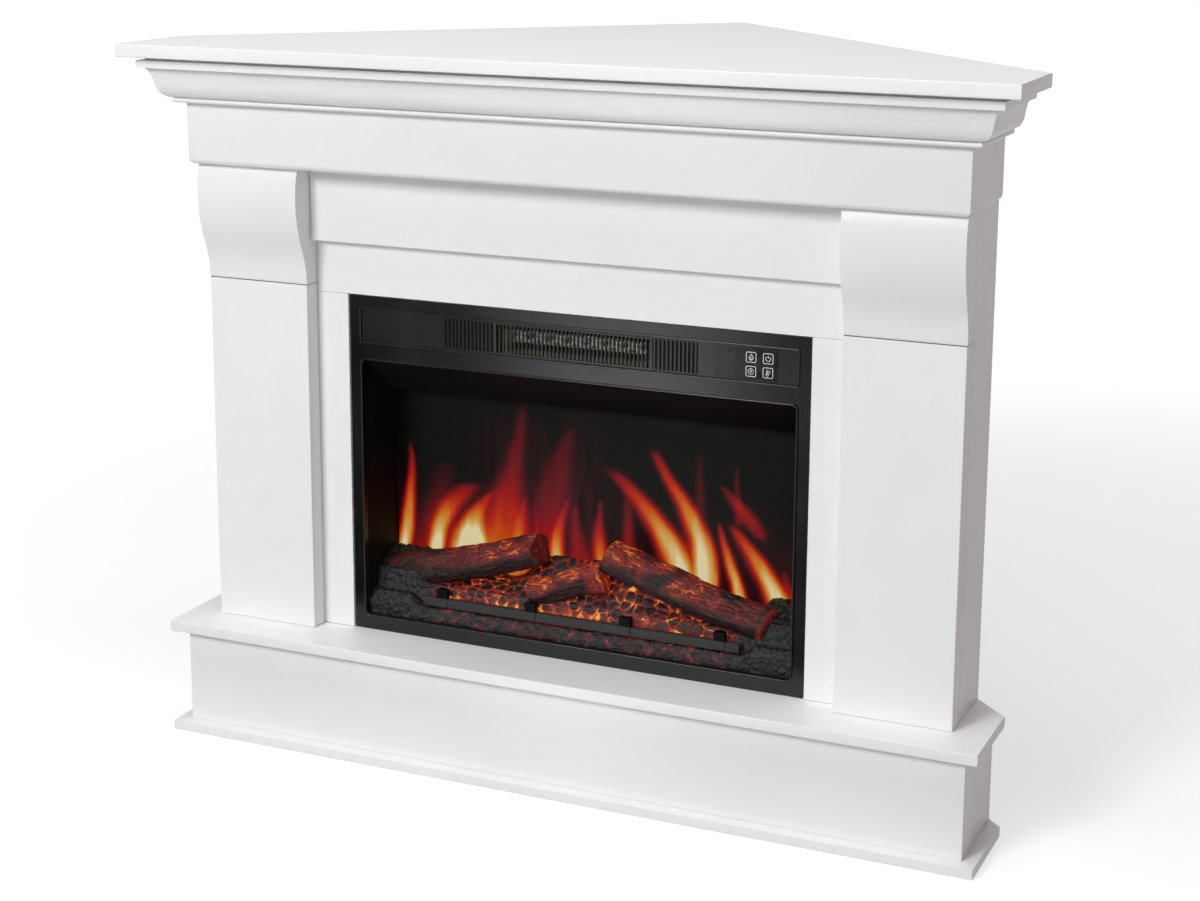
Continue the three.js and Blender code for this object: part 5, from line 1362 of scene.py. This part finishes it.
# %% Draw the signs
def flame_sign(x, z):
    outer = [(0.2, 3.9), (1.2, 2.2), (2.4, 0.6), (2.6, -1.2), (1.6, -2.9), (0, -3.6), (-1.7, -3.0),
             (-2.6, -1.3), (-2.2, 0.4), (-1.2, 1.3), (-0.5, 2.4)]
    inner = [(0.4, 0.4), (1.1, -0.9), (0.9, -2.2), (0, -2.7), (-0.9, -2.1), (-0.8, -1.0)]
    return [([(x + a, z + b) for a, b in outer], 0.95, True),
            ([(x + a, z + b) for a, b in inner], 0.7, True)]


def power_sign(x, z):
    return [(arc(x, z - 0.2, 2.9, 125, 415), 0.9, False), ([(x, z + 0.6), (x, z + 3.7)], 0.9, False)]


def timer_sign(x, z):
    return [(arc(x, z, 3.3, 0, 340, 24), 0.85, False), (arc(x, z, 1.0, 0, 340, 12), 0.9, False),
            ([(x, z + 2.9), (x, z + 1.4)], 0.7, False)]


def heat_sign(x, z):
    stem = arc(x - 0.8, z + 2.4, 1.0, 0, 180, 8) + arc(x - 0.8, z - 2.0, 1.6, 130, 410, 14)
    marks = [([(x + 1.4, z + level), (x + 3.0, z + level)], 0.6, False) for level in (2.6, 1.1, -0.4)]
    return [(stem, 0.8, True), ([(x - 0.8, z - 2.2), (x - 0.8, z + 1.2)], 0.9, False)] + marks


SIGNS = (flame_sign, power_sign, timer_sign, heat_sign)
print("strokes:", {sign.__name__: len(sign(0, 0)) for sign in SIGNS})

# %% [markdown]
# All keys are one mesh, because they are printed in one go. The ink lies a hair in front of the
# panel, so that the two never share a face, and still inside the model's box.

# %% Print the keys
KEY_FACE, KEY_HALF, KEY_CORNER, STROKE_SHARE = 1.45, 5.8, 1.4, 0.68
KEY_MIDDLES = ((224.1, 396.6), (244.5, 396.6), (224.1, 380.2), (244.5, 380.2))


def print_keys():
    points, faces = [], []
    for (x, z), sign in zip(KEY_MIDDLES, SIGNS):
        strokes = [(rounded_square(x, z, KEY_HALF, KEY_CORNER), 1.0, True)] + sign(x, z)
        for path, width, closed in strokes:
            made, made_faces = ribbon(path, width * STROKE_SHARE, closed)
            base = len(points)
            points += [in_heater(spot.x, KEY_FACE, spot.y) for spot in made]
            faces += [tuple(base + i for i in face) for face in made_faces]
    make_piece("printed_keys", points, faces, INK)


print_keys()

# %% [markdown]
# Left of the keys a dark window covers the number display. It is off, so no digits are drawn and
# only its film shows, a little lighter than the gloss round it.

# %% Lay the display window
def window_film():
    finish = Finish("window_film")
    haze = finish.noise(500, 3, 0.6)
    return finish.surface({
        "Base Color": finish.mix(haze, (0.013, 0.012, 0.012, 1), (0.022, 0.020, 0.019, 1)),
        "Roughness": finish.smooth(haze, 0.3, 0.7, 0.30, 0.42),
        "Specular IOR Level": 0.3,
    })


WINDOW_X, WINDOW_LEVELS, WINDOW_HALF, WINDOW_CORNER, WINDOW_STRETCH = 195.5, (395.6, 380.6), 5.2, 1.0, 1.6


def display_window():
    """Two panes, each a rounded square stretched sideways."""
    points, faces = [], []
    for middle in WINDOW_LEVELS:
        base = len(points)
        outline = rounded_square(WINDOW_X, middle, WINDOW_HALF, WINDOW_CORNER)
        points += [in_heater(WINDOW_X + (x - WINDOW_X) * WINDOW_STRETCH, KEY_FACE, z) for x, z in outline]
        faces.append(tuple(range(base, base + len(outline))))
    make_piece("display_window", points, faces, window_film())


display_window()

# %% [markdown]
# Round parts such as wires and pins are turned: a short outline is swept about an axis. Two guard
# wires run behind the slots of the grille, and a small ceramic pin holds the coil's right end.

# %% Turn round parts
WIRE_OUTLINE, WIRE_SETBACK, WIRE_LEVELS = [(-101.5, 0.55), (103.5, 0.55)], 12, (399.5, 393.5)
PIN_OUTLINE, PIN_MIDDLE = [(-3.2, 1.4), (-2.8, 1.7), (2.8, 1.7), (3.2, 1.4)], (96.5, 13, 375.5)


def turned(outline, middle, axis, sides):
    """Points and faces of an outline of (along, radius) pairs swept about an axis through a point."""
    axis = Vector(axis).normalized()
    side = axis.orthogonal().normalized()
    other = axis.cross(side)
    points = []
    for along, radius in outline:
        for i in range(sides):
            angle = 2 * math.pi * i / sides
            spoke = side * math.cos(angle) + other * math.sin(angle)
            points.append(Vector(middle) + axis * along + spoke * radius)
    faces = grid_faces(sides, len(outline), wrap=True)
    faces += [tuple(range(sides))[::-1], tuple(range(len(points) - sides, len(points)))]
    return points, faces


def joined(parts):
    """One list of points and faces from several."""
    points, faces = [], []
    for made, made_faces in parts:
        faces += [tuple(len(points) + i for i in face) for face in made_faces]
        points += made
    return points, faces


def turned_piece(name, made, material):
    points, faces = made
    make_piece(name, [in_heater(*point) for point in points], faces, material)


wires = [turned(WIRE_OUTLINE, (0, WIRE_SETBACK, level), (1, 0, 0), 8) for level in WIRE_LEVELS]
turned_piece("guard_wires", joined(wires), TIN)
turned_piece("coil_pin", turned(PIN_OUTLINE, PIN_MIDDLE, (0, 0, 1), 16), CERAMIC)

# %% [markdown]
